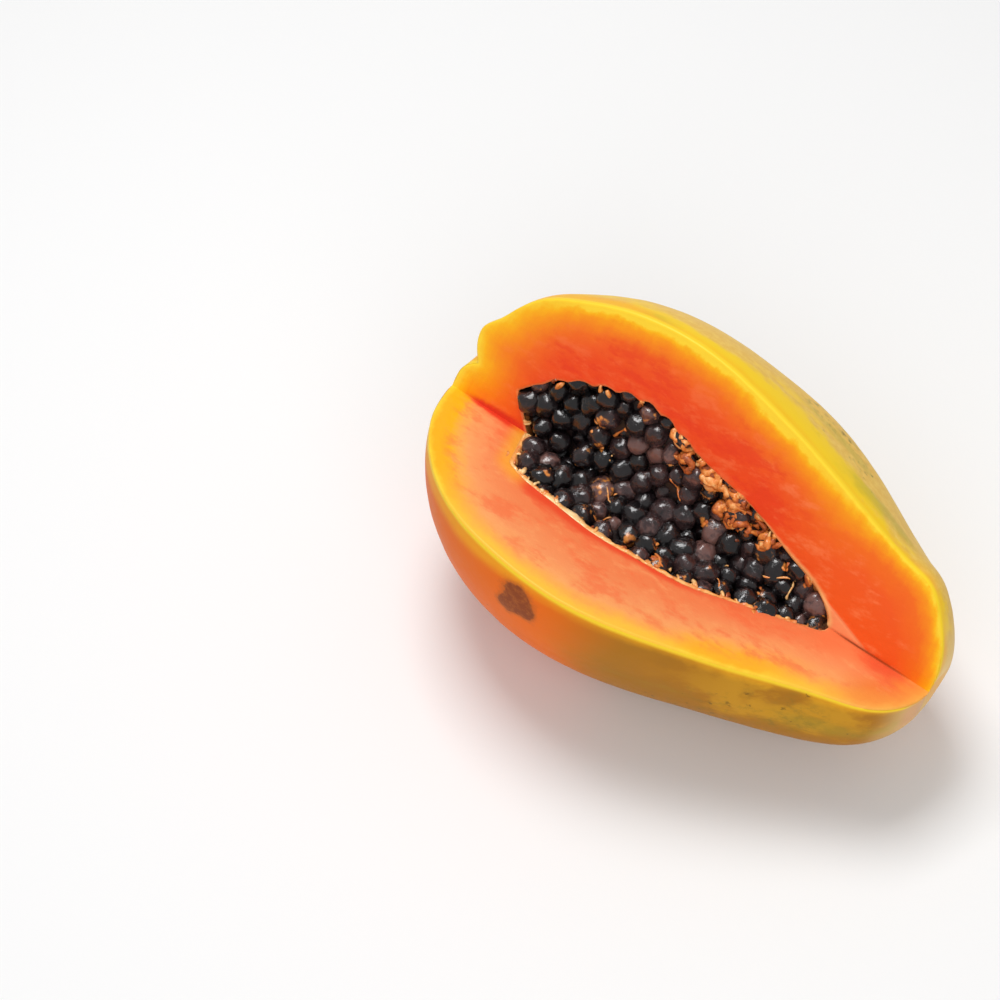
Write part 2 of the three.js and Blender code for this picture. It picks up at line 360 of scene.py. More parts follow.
def groove(x, from_crease, cut):
    depth, first, last, width = cut
    middle, half = (first + last) / 2, (last - first) / 2
    length = np.clip(1 - ((x - middle) / half) ** 2, 0, 1) ** 0.7
    return depth * length * np.exp(-(from_crease / width) ** 2)


def height_above(points, face):
    return (points - crease_at(points[:, 0])) @ face_normal(face)


def nick(points):
    """The dent in the rim of the back face near the blossom end, less the bulge above it."""
    off_back = height_above(points, BACK_FACE)
    from_crease = (points - crease_at(points[:, 0])) @ across(BACK_FACE)
    away = from_crease - NICK_PLACE
    side = np.abs(np.where(away < 0, away / NICK_LOWER, away / NICK_UPPER))
    dent = NICK_DEPTH * np.exp(-side ** NICK_SHARPNESS - (off_back / NICK_REACH) ** 2)
    above = (from_crease - BULGE_PLACE) / BULGE_LENGTH
    bulge = BULGE_HEIGHT * np.exp(-above ** 2 - (off_back / BULGE_REACH) ** 2)
    return (dent - bulge) * smooth_step(-points[:, 0], -20, -8)


def hollows(points, rays):
    """How much farther the cavity reaches where seeds pressed into it, and at its tip."""
    x = points[:, 0]
    pressed = 2 * np.abs(np.cos(math.pi * x / HOLLOW_PITCH)) - 1
    stretch = smooth_step(x, 20, 30) * smooth_step(-x, -82, -70)
    near_back = np.exp(-(height_above(points, BACK_FACE) / HOLLOW_REACH) ** 2)
    tip = TIP_FULLNESS * np.exp(-((x - TIP_PLACE) / TIP_LENGTH) ** 2)
    sideways = np.hypot(rays[:, 1], rays[:, 2])
    return (HOLLOW_DEPTH * pressed * stretch * near_back + tip) * sideways


def relief(points, share, rays):
    """Lumps and dimples of the skin; they fade towards the cavity."""
    height = SKIN_LUMP[0] * ruffle(points, SKIN_LUMP[1]) + SKIN_DIMPLE[0] * ruffle(points, SKIN_DIMPLE[1], 9)
    scar = np.exp(-(np.hypot(points[:, 1], points[:, 2]) / SCAR_RADIUS) ** 2) * SCAR_DEPTH
    height -= nick(points) + np.where(points[:, 0] > LENGTH / 2, scar, 0)
    return points + rays * (height * share ** 3)[:, None]


def cut_face(points, share, face):
    """One cut face with its waves, grain and rounded edges, and the gaps that its colours follow."""
    flat = np.stack((points[:, 0], (points - crease_at(points[:, 0])) @ across(face)), 1)
    # Held at nought or above, so that both lines end at the crease and don't run along it
    order = np.argsort(np.arctan2(np.maximum(flat[:, 1], 0), LENGTH / 2 - flat[:, 0]))
    rim_gap = gap_to(flat[order[share[order] > 1 - 1e-4]], flat)
    lip_gap = gap_to(flat[order[share[order] < 1e-4]], flat)
    x, crease_gap = flat[:, 0], np.maximum(flat[:, 1], 0)
    height = KNIFE_WAVE[0] * ruffle(points, KNIFE_WAVE[1], 3) + FLESH_GRAIN[0] * ruffle(points, FLESH_GRAIN[1], 5)
    height *= smooth_step(crease_gap, 0, 4)
    for gap, rounding in ((rim_gap, RIM_ROUNDING), (lip_gap, LIP_ROUNDING)):
        left = np.clip(1 - gap / rounding, 0, 1)
        height -= rounding * (1 - np.sqrt(1 - left ** 2)) * smooth_step(crease_gap, 0, 3)
    if face == BACK_FACE:
        edge = FLAP_WIDTH - (x - FLAP_START) * FLAP_TAPER
        flap = smooth_step(edge - crease_gap, 0, 1.2) * smooth_step(x, FLAP_START - 3, FLAP_START + 1)
        height += FLAP_RISE * flap * smooth_step(crease_gap, 0, 0.8)
    sink = groove(x, crease_gap, BLOSSOM_GROOVE) + groove(x, crease_gap, STEM_GROOVE)
    moved = points + np.outer(height, face_normal(face)) - np.outer(sink, across(WEDGE_MIDDLE))
    return moved, rim_gap, lip_gap, crease_gap


def patches(points, spots):
    """How deep each point lies in patches of the skin, from 0 outside to 1 in the middle."""
    around = np.degrees(np.arctan2(points[:, 2], points[:, 1]))
    total = np.zeros(len(points))
    for x, towards, length, width in spots:
        turn = (around - towards + 180) % 360 - 180
        total += np.exp(-((points[:, 0] - x) / length) ** 2 - (turn / width) ** 2)
    return np.minimum(total, 1)


def fruit_piece(materials):
    bm = bmesh.new()
    spun_shell(bm, FRUIT_STEPS_ALONG, FRUIT_STEPS_THROUGH, FRUIT_STEPS_AROUND)
    ball = np.array([vert.co for vert in bm.verts])
    share, angle, on_crease, origins, rays = shell_rays(ball)
    wall = reach(origins, rays, in_cavity)
    wall += hollows(origins + rays * wall[:, None], rays)
    rind = reach(origins, rays, in_body)
    points = origins + rays * (wall + (rind - wall) * share)[:, None]
    points = relief(points, share, rays)
    front = (angle < 1e-3) & ~on_crease
    back = (angle > KEPT_TURN - 1e-3) & ~on_crease
    skin = share > 1 - 1e-4
    # On the skin the rim gap is measured along the skin and counted below nought
    around = np.minimum(angle, KEPT_TURN - angle) * np.hypot(points[:, 1], points[:, 2])
    gaps = {"rim_gap": np.where(skin, -around, 0.0), "lip_gap": (rind - wall) * share,
            "crease_gap": np.full(len(ball), 50.0)}
    uncut = points.copy()
    for own, face in ((back, BACK_FACE), (front, FRONT_FACE)):
        chosen = own | on_crease
        points[chosen], *measured = cut_face(uncut[chosen], share[chosen], face)
        for values, measure in zip(gaps.values(), measured):
            values[chosen] = measure
    for face in bm.faces:
        corners = [vert.index for vert in face.verts]
        if skin[corners].all():
            face.material_index = 0
        elif (share[corners] < 1e-4).all():
            face.material_index = 3
        else:
            face.material_index = 1 if front[corners].any() else 2
        face.smooth = True
    for edge in bm.edges:
        edge.smooth = not on_crease[[vert.index for vert in edge.verts]].all()
    places = laid(points)
    places[:, 2] = np.maximum(places[:, 2], 0)
    move_verts(bm, places)
    piece = finished("fruit_whole", bm, materials)
    gaps["along"] = points[:, 0]
    gaps["around"] = angle / KEPT_TURN
    for name, spots in (("ripe", RIPE_PATCHES), ("green", GREEN_PATCHES), ("speckled", SPECKLED_PATCHES),
                        ("bruise", BRUISE_PATCHES), ("scar", SCAR_PATCHES)):
        gaps[name] = patches(points, spots)
    for name, values in gaps.items():
        layer = piece.data.attributes.new(name, "FLOAT", "POINT")
        layer.data.foreach_set("value", values.astype(np.float32))
    return piece


# Seeds

# Pulp smeared on the seeds: place along the fruit, from the crease (below nought in front), and reach
SMEARS = ((48, 17, 3.4), (51, 10, 2.2), (72, 16, 2.0), (90, 7, 2.4), (43, -12, 2.2), (75, -14, 3.4), (86, -17, 3.4),
          (82, -11, 2.2), (95, -17, 3.0), (99, -9, 2.0), (118, -11, 1.8), (116, -4, 2.2), (118, 9, 1.8))
SEED_LENGTH = 7.0
SEED_WIDTH = 5.8
SEED_SIZE_SPREAD = 0.12
SEED_SPACING = 5.2
SEED_TRIES = 9000
SEED_SERIES = 2026
SEED_BACK_SHARE = 0.55
SEED_BED_DEPTH = 3.6
SEED_RISE = 1.2
SEED_CLEARANCE = 0.5
# The wet coat makes each seed a little bigger than the frame's
COAT_SWELL = 1.3
SIZE_CONTRAST = 1.9
SEED_EGG = 0.16
SEED_DENT = 0.2
SEED_WRINKLE = 0.05
# The narrow end of each seed is painted paler, as a painted glow of light through its wet coat; each seed is turned
# at random
SEED_PAINTED_GLOW = 0.16
# Seeds in the gaps are painted darker than the ones on top, as painted shade
FILLER_PAINTED_SHADE = 0.4
# Seeds pressed against the wall along each lip: how far in from the lip and how deep
LIP_SEEDS = ((BACK_FACE, 2.8, 4.2), (FRONT_FACE, 2.7, 3.4))
LIP_SEED_SPACING = 3.6
LIP_SEED_ROOM = 1.4
LIP_SERIES = 64
# Seeds don't show through the cut faces: where they reach into the flesh they stay this far below
FLESH_COVER = 0.7
# Seeds that fill the gaps below and the groove between the two beds
FILLER_TRIES = 6000
FILLER_SERIES = 411
FILLER_SPACING = 4.6
FILLER_ROOM = 1.6
FILLER_DEEPEST = 4.0
GROOVE_SHARE = 0.3
GROOVE_LOW = -4.5
GROOVE_HIGH = 1.5
GROOVE_SIDE = 7.0
PACKING_ROUNDS = 26
PACKED_WIDTH = 6.9
# How high the middle of a seed may lie above each cut face at its lip, and above both at the crease
HIGHEST_AT_BACK_LIP = -4.1
HIGHEST_AT_FRONT_LIP = -3.2
HIGHEST_AT_CREASE = -1.2
CREASE_REACH = 9.0
# The biggest seeds lie this much higher than the frame's, and the smallest sink this far from there
HEAP_RISE = 0.9
HEAP_SINK = 4.0
# In front of the heel, between these places along the fruit, none sinks and none is smaller than this
HEEL_REACH = (38.0, 46.0)
HEEL_SEED_SIZE = 1.04


def along_cavity(draws):
    return CAVITY_BLOSSOM[0] + (CAVITY_STEM[0] - CAVITY_BLOSSOM[0]) * draws


def bed_places(x, face_draws, far_draws, depth):
    """Places on the two beds of seeds, under the back face or the front one."""
    faces = np.where(face_draws < SEED_BACK_SHARE, BACK_FACE, FRONT_FACE)
    outward = np.stack((np.zeros(len(x)), np.cos(faces), np.sin(faces)), 1)
    sink = np.outer(depth / math.sin(WEDGE_HALF), across(WEDGE_MIDDLE))
    return crease_at(x) - sink + outward * (far_draws * CAVITY_REACH)[:, None]


def top_seeds():
    """Centre, size and turns of the seeds that the frame has."""
    table = seeded_draws(SEED_SERIES, SEED_TRIES, 6)
    sizes = 1 + SEED_SIZE_SPREAD * (2 * table[:, 3] - 1)
    x = along_cavity(table[:, 0])
    places = bed_places(x, table[:, 1], table[:, 2], np.full(len(x), SEED_BED_DEPTH))
    held = depth_in_cavity(places) >= SEED_WIDTH / 2 * sizes
    raised = places + across(WEDGE_MIDDLE) * SEED_RISE
    chosen = []
    for index in np.flatnonzero(held):
        if all(np.linalg.norm(raised[other] - raised[index]) >= SEED_SPACING for other in chosen):
            chosen.append(index)
    return raised[chosen], sizes[chosen], table[chosen, 4:6] * 2 * math.pi


def lip_seeds(taken):
    """Seeds in a row along each lip, where the ones that the frame has leave room."""
    chosen = []
    for face, inset, drop in LIP_SEEDS:
        for x in np.arange(HOLLOW_PITCH * 3, CAVITY_STEM[0] - 3, HOLLOW_PITCH):
            place = on_face(x, lip_at(x, face) - inset, face, -drop)
            free = all(np.linalg.norm(other - place) >= LIP_SEED_SPACING for other in (*taken, *chosen))
            if free and depth_in_cavity(place[None])[0] > LIP_SEED_ROOM:
                chosen.append(place)
    return np.array(chosen)


def filler_seeds(taken):
    """Seeds in the gaps below the top ones, and heaped in the groove between the two beds."""
    table = seeded_draws(FILLER_SERIES, FILLER_TRIES, 7)
    x = along_cavity(table[:, 0])
    beds = bed_places(x, table[:, 1], table[:, 2], SEED_BED_DEPTH - 0.6 + FILLER_DEEPEST * table[:, 3] ** 2)
    rise = GROOVE_LOW + (GROOVE_HIGH - GROOVE_LOW) * table[:, 3]
    side = GROOVE_SIDE * (2 * table[:, 2] - 1)
    heap = crease_at(x) + np.outer(rise, across(WEDGE_MIDDLE)) + np.outer(side, across(WEDGE_MIDDLE + math.pi / 2))
    places = np.where(table[:, 6:] < GROOVE_SHARE, heap, beds)
    chosen = []
    taken = list(taken)
    for index in np.flatnonzero(depth_in_cavity(places) > FILLER_ROOM):
        if all(np.linalg.norm(other - places[index]) >= FILLER_SPACING for other in taken):
            taken.append(places[index])
            chosen.append(index)
    return places[chosen], 0.94 + 0.16 * table[chosen, 6], table[chosen, 4:6] * 2 * math.pi


def over_face(points, face):
    """Whether each point lies nearer to this cut face than to the other."""
    off = points - crease_at(points[:, 0])
    return off @ across(face) > off @ across(BACK_FACE + FRONT_FACE - face)


def let_down(centres):
    """Centres let down where a seed would stand too high above a cut face."""
    off = centres - crease_at(centres[:, 0])
    nearness = np.exp(-(np.hypot(off[:, 1], off[:, 2]) / CREASE_REACH) ** 2)
    sink = np.zeros(len(centres))
    for face, highest in ((BACK_FACE, HIGHEST_AT_BACK_LIP), (FRONT_FACE, HIGHEST_AT_FRONT_LIP)):
        allowed = highest + (HIGHEST_AT_CREASE - highest) * nearness
        too_high = height_above(centres, face) - allowed
        sink = np.maximum(sink, np.where(over_face(centres, face), too_high, 0))
    return centres - np.outer(sink / math.sin(WEDGE_HALF), across(WEDGE_MIDDLE))


def kept_under_flesh(points):
    """Points of the seeds that reach into the flesh, moved below its cut face."""
    in_flesh = depth_in_cavity(points) < 0
    for face in (BACK_FACE, FRONT_FACE):
        height = height_above(points, face)
        shown = in_flesh & over_face(points, face) & (height > -FLESH_COVER)
        points = points - np.outer(np.where(shown, height + FLESH_COVER, 0), face_normal(face))
    return points


def packed(centres, looseness):
    """Centres pushed apart where seeds would sink into each other, but not into the wall."""
    for _ in range(PACKING_ROUNDS):
        away = centres[:, None] - centres[None]
        gap = np.linalg.norm(away, axis=2) + 99 * np.eye(len(centres))
        push = np.clip(PACKED_WIDTH - gap, 0, None) * 0.3
        moved = centres + (away / gap[..., None] * push[..., None]).sum(1) * looseness[:, None]
        kept = depth_in_cavity(moved) > FILLER_ROOM
        centres = let_down(np.where(kept[:, None], moved, centres))
    return centres


def seed(bm, centre, size, turns, level, marks):
    new = bmesh.ops.create_icosphere(bm, subdivisions=level, radius=1)["verts"]
    turn = Matrix.Rotation(turns[0], 3, "X") @ Matrix.Rotation(turns[1], 3, "Y")
    seat = Vector(centre)
    tone_layer, tone, residue_layer, residue = marks
    for vert in new:
        co = vert.co.copy()
        wide = (1 - SEED_EGG * co.y) * SEED_WIDTH / 2
        dent = 1 + SEED_DENT * noise.noise(co * 1.7 + seat) + SEED_WRINKLE * noise.noise(co * 3.6 + seat)
        shape = Vector((co.x * wide, co.y * SEED_LENGTH / 2, co.z * wide))
        vert.co = seat + turn @ shape * size * dent
        # Paler towards the narrow end: a painted glow
        vert[tone_layer] = tone + SEED_PAINTED_GLOW * co.y
        vert[residue_layer] = residue


def seed_bed(bm):
    """The dark mass under the seeds that show."""
    bed = bmesh.new()
    spun_shell(bed, 60, 12, 60)
    share, _, _, origins, rays = shell_rays(np.array([vert.co for vert in bed.verts]), SEED_BED_DEPTH)
    wall = reach(origins, rays, in_cavity) - SEED_CLEARANCE
    move_verts(bed, origins + rays * (wall * share)[:, None])
    bmesh.ops.remove_doubles(bed, verts=bed.verts[:], dist=1e-3)
    bmesh.ops.recalc_face_normals(bed, faces=bed.faces[:])
    for face in bed.faces:
        face.material_index = 1
    mesh = bpy.data.meshes.new("seed_bed")
    bed.to_mesh(mesh)
    bed.free()
    bm.from_mesh(mesh)
    bpy.data.meshes.remove(mesh)


def settled_seeds():
    """Centres, sizes and turns of all seeds, and how many of them lie on top."""
    tops, top_sizes, top_turns = top_seeds()
    rows = lip_seeds(tops)
    row_turns = seeded_draws(LIP_SERIES, len(rows), 2) * 2 * math.pi
    fillers, filler_sizes, filler_turns = filler_seeds(np.concatenate((tops, rows)))
    smallness = (1 - (top_sizes - 1) / SEED_SIZE_SPREAD) / 2
    by_heel = (1 - smooth_step(tops[:, 0], *HEEL_REACH)) * over_face(tops, FRONT_FACE)
    rise = HEAP_RISE - HEAP_SINK * smallness ** 3 * (1 - by_heel)
    shown = np.concatenate((tops + np.outer(rise, across(WEDGE_MIDDLE)), rows))
    looseness = np.concatenate((np.full(len(shown), 0.4), np.full(len(fillers), 0.8)))
    centres = packed(np.concatenate((shown, fillers)), looseness)
    top_sizes = np.maximum(1 + SIZE_CONTRAST * (top_sizes - 1), HEEL_SEED_SIZE * by_heel)
    sizes = COAT_SWELL * np.concatenate((top_sizes, np.full(len(rows), 0.98), filler_sizes))
    return centres, sizes, np.concatenate((top_turns, row_turns, filler_turns)), len(shown)


def smeared(points):
    """How close each point of the seeds lies to the middle of a smear of pulp, from 0 to 1."""
    total = np.zeros(len(points))
    for x, away, width in SMEARS:
        face = BACK_FACE if away > 0 else FRONT_FACE
        off = points - on_face(x, abs(away), face)
        aside = np.linalg.norm(off - np.outer(off @ face_normal(face), face_normal(face)), axis=1)
        total = np.maximum(total, 1 - 0.5 * aside / width)
    return total


def seeds_piece(settled, materials):
    bm = bmesh.new()
    tone, residue = (bm.verts.layers.float.new(name) for name in ("tone", "residue"))
    seed_bed(bm)
    centres, sizes, turns, top_count = settled
    draws = seeded_draws(5)
    for number, (centre, size, turn) in enumerate(zip(centres, sizes, turns)):
        on_top = number < top_count
        # Seeds in the gaps take a darker tone, as painted shade
        marks = (tone, next(draws) * (1 if on_top else FILLER_PAINTED_SHADE), residue, 0.75 * next(draws))
        seed(bm, centre, size, turn, 3 if on_top else 2, marks)
    points = kept_under_flesh(np.array([vert.co for vert in bm.verts]))
    move_verts(bm, points)
    for vert, smear in zip(bm.verts, smeared(points)):
        vert[residue] = max(vert[residue], smear)
    place_in_object(bm)
    return finished("seed_heap", bm, materials)


# Pulp

TONGUE_FIRST = 36
TONGUE_LAST = 126
TONGUE_PITCH = 10
TONGUE_LENGTH = 6.5
TONGUE_WIDTH = 3.4
TONGUE_LEAN = 0.7
TONGUE_SIZE_SPREAD = 0.2
TONGUE_SERIES = 77
# The torn sacs that the seeds grew in, along the back lip. Rows of them: first and last place along
# the fruit, spacing, and how far in from the lip
SAC_ROWS = ((72, 107, 3.5, 1.1), (73, 80, 3.8, 5.0), (86, 108, 3.6, 4.6), (93, 105, 4.0, 8.2))
SAC_ARCS = 2
SAC_RADIUS = 2.2
SAC_SERIES = 31
SAC_LUMP_COUNT = 75
# Threads over the seeds: place along the fruit, from the crease (below nought in front), and run both ways
THREADS = ((52, 14, 4, 5), (59, -4, 6, 3), (74, 13, 7, -4), (113, 4, 8, 3), (122, 6, 1, -6), (103, -9, 4, 4),
           (84, -15, 5, 3), (66, -8, -4, 6))
THREAD_SERIES = 53
SMEAR_LUMPS = 3
SMEAR_SERIES = 47
# The pulp is crumpled as a whole: how far, and the size of the folds
CRUMPLE = 0.55
CRUMPLE_SIZE = 1.9
# The upper side of a strand is painted this much paler than its middle, as a painted highlight
STRAND_PAINTED_HIGHLIGHT = 0.2
CRUMB_COUNT = 22
CRUMB_SERIES = 91
HEEL_BIT_COUNT = 9
HEEL_SERIES = 12
# The pale scrap where the heel meets the crease: place along the fruit, from the crease, size
HEEL_SCRAP = ((31.2, 0.6, 1.3), (30.6, 2.2, 1.3), (31.6, 3.6, 1.1), (32.4, -1.2, 1.1), (33.4, 1.2, 1.0))


def strand(bm, path, thickness, mark, sides=6, steps=9):
    """A closed, tapering strand of pulp along a smooth path of places."""
    layer, tone = mark
    path = np.asarray(path, float)
    shares = np.linspace(0, 1, len(path))
    ways = np.gradient(path, axis=0)
    new = bmesh.ops.create_uvsphere(bm, u_segments=sides, v_segments=steps, radius=1)["verts"]
    for vert in new:
        share = math.asin(max(-1, min(1, vert.co.z))) / math.pi + 0.5
        middle = Vector([np.interp(share, shares, path[:, axis]) for axis in range(3)])
        way = Vector([np.interp(share, shares, ways[:, axis]) for axis in range(3)]).normalized()
        side = way.cross(Vector((0.2, 0.5, 0.8))).normalized()
        ring = Vector((vert.co.x, vert.co.y))
        fullness = min(1, ring.length * 2.2)
        ragged = 1 + 0.4 * noise.noise(middle * 0.8)
        if ring.length > 1e-6:
            ring.normalize()
        offset = side * ring.x + way.cross(side) * ring.y
        vert.co = middle + offset * thickness * fullness * ragged
        # Paler on its upper side: a painted highlight
        vert[layer] = tone + STRAND_PAINTED_HIGHLIGHT * offset.dot(Vector(across(WEDGE_MIDDLE)))


def lump(bm, centre, size, mark, outward, flatness=0.5):
    """A small, uneven lump of pulp, pressed flat against what it lies on."""
    layer, tone = mark
    new = bmesh.ops.create_icosphere(bm, subdivisions=2, radius=1)["verts"]
    seat, outward = Vector(centre), Vector(outward).normalized()
    for vert in new:
        uneven = 1 + 0.5 * noise.noise(vert.co * 1.3 + seat) + 0.25 * noise.noise(vert.co * 3.1 + seat)
        pressed = vert.co - outward * vert.co.dot(outward) * flatness
        vert.co = seat + pressed * size * uneven
        vert[layer] = tone


def bent(*corners, steps=9):
    """A smooth path that starts and ends at the first and last corner and leans to those between."""
    share = np.linspace(0, 1, steps)[:, None]
    corners = [np.asarray(corner, float) for corner in corners]
    while len(corners) > 1:
        corners = [one * (1 - share) + other * share for one, other in zip(corners, corners[1:])]
    return corners[0]


def draped(path, face, settled, lift=0.2):
    """A path let down on the seeds, seen square to a cut face."""
    centres, sizes = settled[:2]
    normal = face_normal(face)
    radii = SEED_WIDTH / 2 * sizes
    heights = []
    for place in path:
        away = centres - place
        above = away @ normal
        aside = np.linalg.norm(away - np.outer(above, normal), axis=1)
        tops = np.where(aside < radii, above + np.sqrt(np.maximum(radii ** 2 - aside ** 2, 0)), -4)
        heights.append(max(tops.max(), -3.5) + lift)
    heights = np.convolve(np.pad(heights, 1, "edge"), (0.25, 0.5, 0.25), "valid")
    return path + np.outer(heights, normal)


def tongues(bm, layer):
    """Tongues of pulp where the frame has them, split into strands."""
    draws = seeded_draws(TONGUE_SERIES)
    own = seeded_draws(TONGUE_SERIES + 1)
    for face in (BACK_FACE, FRONT_FACE):
        for x in range(TONGUE_FIRST, TONGUE_LAST + 1, TONGUE_PITCH):
            at = x + TONGUE_PITCH * (next(draws) - 0.5)
            length = TONGUE_LENGTH * (1 + TONGUE_SIZE_SPREAD * (2 * next(draws) - 1))
            lean = TONGUE_LEAN * (2 * next(draws) - 1)
            lip = lip_at(at, face)
            for _ in range(3):
                foot = at + TONGUE_WIDTH * (next(own) - 0.5)
                run = length * (0.4 + 0.5 * next(own))
                path = bent(on_face(foot, lip + 0.4, face, -1.0),
                            on_face(foot + lean * run * 0.3, lip - run * 0.4, face, 0.2 + 0.5 * next(own)),
                            on_face(foot + lean * run, lip - run * 0.8, face, -1.8 - 1.5 * next(own)))
                strand(bm, path, 0.4 + 0.45 * next(own), (layer, next(own)))


def sac_arc(bm, layer, settled, x, far, draws):
    """Part of a ring round a seed, let down on what lies there and raised in its middle."""
    radius = SAC_RADIUS * (0.75 + 0.55 * next(draws))
    turns = 2 * math.pi * next(draws) + np.linspace(0, 2.6 + 2.4 * next(draws), 11)
    squeeze = 0.6 + 0.4 * next(draws)
    places = []
    for turn in turns:
        place = x + radius * math.cos(turn), far + radius * squeeze * math.sin(turn)
        places.append(on_face(place[0], min(place[1], lip_at(place[0], BACK_FACE) + 0.5), BACK_FACE))
    path = draped(np.array(places), BACK_FACE, settled, 0.0)
    arch = np.sin(np.linspace(0, math.pi, len(path))) * 1.3 * next(draws)
    high = height_above(path, BACK_FACE)
    lowered = np.minimum(arch, np.maximum(0.9 - high, 0.1 * arch))
    strand(bm, path + np.outer(lowered, face_normal(BACK_FACE)), 0.5 + 0.8 * next(draws),
           (layer, 0.6 * next(draws)), 8, 16)


def torn_sacs(bm, layer, settled):
    """The mass of torn sacs along the back lip, with lumps where they have grown together."""
    draws = seeded_draws(SAC_SERIES)
    spots = []
    for first, last, spacing, inset in SAC_ROWS:
        for x in np.arange(first, last, spacing):
            at = x + spacing * 0.6 * (next(draws) - 0.5)
            spots.append((at, lip_at(at, BACK_FACE) - inset - 1.6 * (next(draws) - 0.5)))
    for x, far in spots:
        for _ in range(SAC_ARCS):
            sac_arc(bm, layer, settled, x, far, draws)
    for _ in range(SAC_LUMP_COUNT):
        x, far = spots[int(next(draws) * len(spots))]
        place = on_face(x + 3 * (next(draws) - 0.5), far + 2.4 * (next(draws) - 0.5), BACK_FACE)
        seat = draped(place[None], BACK_FACE, settled, -0.5)[0]
        lump(bm, seat, 0.8 + 1.0 * next(draws), (layer, 0.8 * next(draws)), face_normal(BACK_FACE), 0.3)


def smears(bm, layer, settled):
    draws = seeded_draws(SMEAR_SERIES)
    for x, away, width in SMEARS:
        face = BACK_FACE if away > 0 else FRONT_FACE
        for _ in range(SMEAR_LUMPS):
            place = on_face(x + width * (next(draws) - 0.5), abs(away) + width * (next(draws) - 0.5), face)
            seat = draped(place[None], face, settled, -0.25)[0]
            lump(bm, seat, 0.5 + width * 0.26 * next(draws), (layer, 0.2 + 0.7 * next(draws)), face_normal(face), 0.7)


def threads(bm, layer, settled):
    """Thin threads that lie over the seeds."""
    draws = seeded_draws(THREAD_SERIES)
    for x, away, run, swing in THREADS:
        face = BACK_FACE if away > 0 else FRONT_FACE
        far = abs(away)
        bow = 3 * (next(draws) - 0.5)
        flat = bent(on_face(x, far, face), on_face(x + run * 0.3, far + bow, face),
                    on_face(x + run * 0.7, far + swing - bow, face), on_face(x + run, max(far + swing, 1), face))
        path = draped(flat, face, settled)
        strand(bm, path, 0.24 + 0.2 * next(draws), (layer, 0.35 + 0.5 * next(draws)), 6, 12)


def crumbs(bm, layer, settled):
    """Bits of pulp stuck to the seeds on top."""
    centres, sizes, _, top_count = settled
    draws = seeded_draws(CRUMB_SERIES)
    for _ in range(CRUMB_COUNT):
        own = int(next(draws) * top_count)
        lean = Vector((next(draws) - 0.5, next(draws) - 0.5, next(draws) - 0.5)) * 1.3
        way = (Vector(across(WEDGE_MIDDLE)) + lean).normalized()
        seat = Vector(centres[own]) + way * (SEED_WIDTH / 2 * sizes[own])
        lump(bm, seat, 0.4 + 0.7 * next(draws) ** 2, (layer, next(draws)), way)


def heel_bits(bm, layer):
    """Pale, torn pulp on the heel, beside the crease."""
    draws = seeded_draws(HEEL_SERIES)
    for x, far, size in HEEL_SCRAP:
        face = FRONT_FACE if far > 0 else BACK_FACE
        seat = on_face(x, abs(far), face, -0.4)
        lump(bm, seat, size, (layer, 0.6 + 0.3 * next(draws)), across(WEDGE_MIDDLE), 0.3)
    for _ in range(HEEL_BIT_COUNT):
        face = FRONT_FACE if next(draws) < 0.65 else BACK_FACE
        slant = HEEL_FRONT_SLANT if face == FRONT_FACE else HEEL_BACK_SLANT
        far = (9 if face == FRONT_FACE else 5) * next(draws) ** 1.5
        x = HEEL_START + slant * far
        run = 1.2 + 2.2 * next(draws)
        swing = 2.4 * (next(draws) - 0.5)
        path = bent(on_face(x - 0.5, far, face, -0.3), on_face(x + run * 0.5, far + swing * 0.5, face, 0.4),
                    on_face(x + run, far + swing, face, -1.6))
        strand(bm, path, 0.3 + 0.35 * next(draws), (layer, 0.4 + 0.4 * next(draws)))


def pulp_piece(settled, materials):
    bm = bmesh.new()
    layer = bm.verts.layers.float.new("tone")
    tongues(bm, layer)
    torn_sacs(bm, layer, settled)
    smears(bm, layer, settled)
    threads(bm, layer, settled)
    crumbs(bm, layer, settled)
    heel_bits(bm, layer)
    for vert in bm.verts:
        vert.co += noise.noise_vector(vert.co / CRUMPLE_SIZE) * CRUMPLE
    place_in_object(bm)
    return finished("seed_pulp", bm, materials)


# The pale lining that stands along the front lip

LINING_STEPS = 340
LINING_WIDTH = 1.3
LINING_THICKNESS = 0.3
LINING_LAST = 130.0
# Where it is wider: place along the fruit, reach, how much wider
LINING_WIDENINGS = ((61, 15, 1.7), (47, 4, 0.8), (92, 7, 0.9), (116, 3, 1.3))
# It is palest about here, and browner away from it: place along the fruit, reach
LINING_PALE = (58.0, 26.0)
FRAY_COUNT = 24
FRAY_SERIES = 19


def front_edge():
    """The cavity's edge on the front face, from the crease over the heel to the tip, and its length."""
    heel = [(HEEL_START + HEEL_FRONT_SLANT * far, far) for far in np.linspace(0.4, HEEL_CORNER, 20)]
    x, far = LIPS[FRONT_FACE]
    past = (x > heel[-1][0] + 0.5) & (x < LINING_LAST)
    line = np.concatenate((heel, np.stack((x[past], far[past]), 1)))
    step = np.linalg.norm(np.diff(line, axis=0), axis=1)
    return line, np.concatenate(((0,), np.cumsum(step)))


def edge_place(line, runs, share):
    """A place on the cavity's edge, and the way from it into the cavity."""
    at = share * runs[-1]
    place = np.array([np.interp(at, runs, line[:, axis]) for axis in range(2)])
    ahead = np.array([np.interp(at + 1.5, runs, line[:, axis]) for axis in range(2)])
    behind = np.array([np.interp(at - 1.5, runs, line[:, axis]) for axis in range(2)])
    way = (ahead - behind) / np.linalg.norm(ahead - behind)
    return place, np.array((way[1], -way[0]))


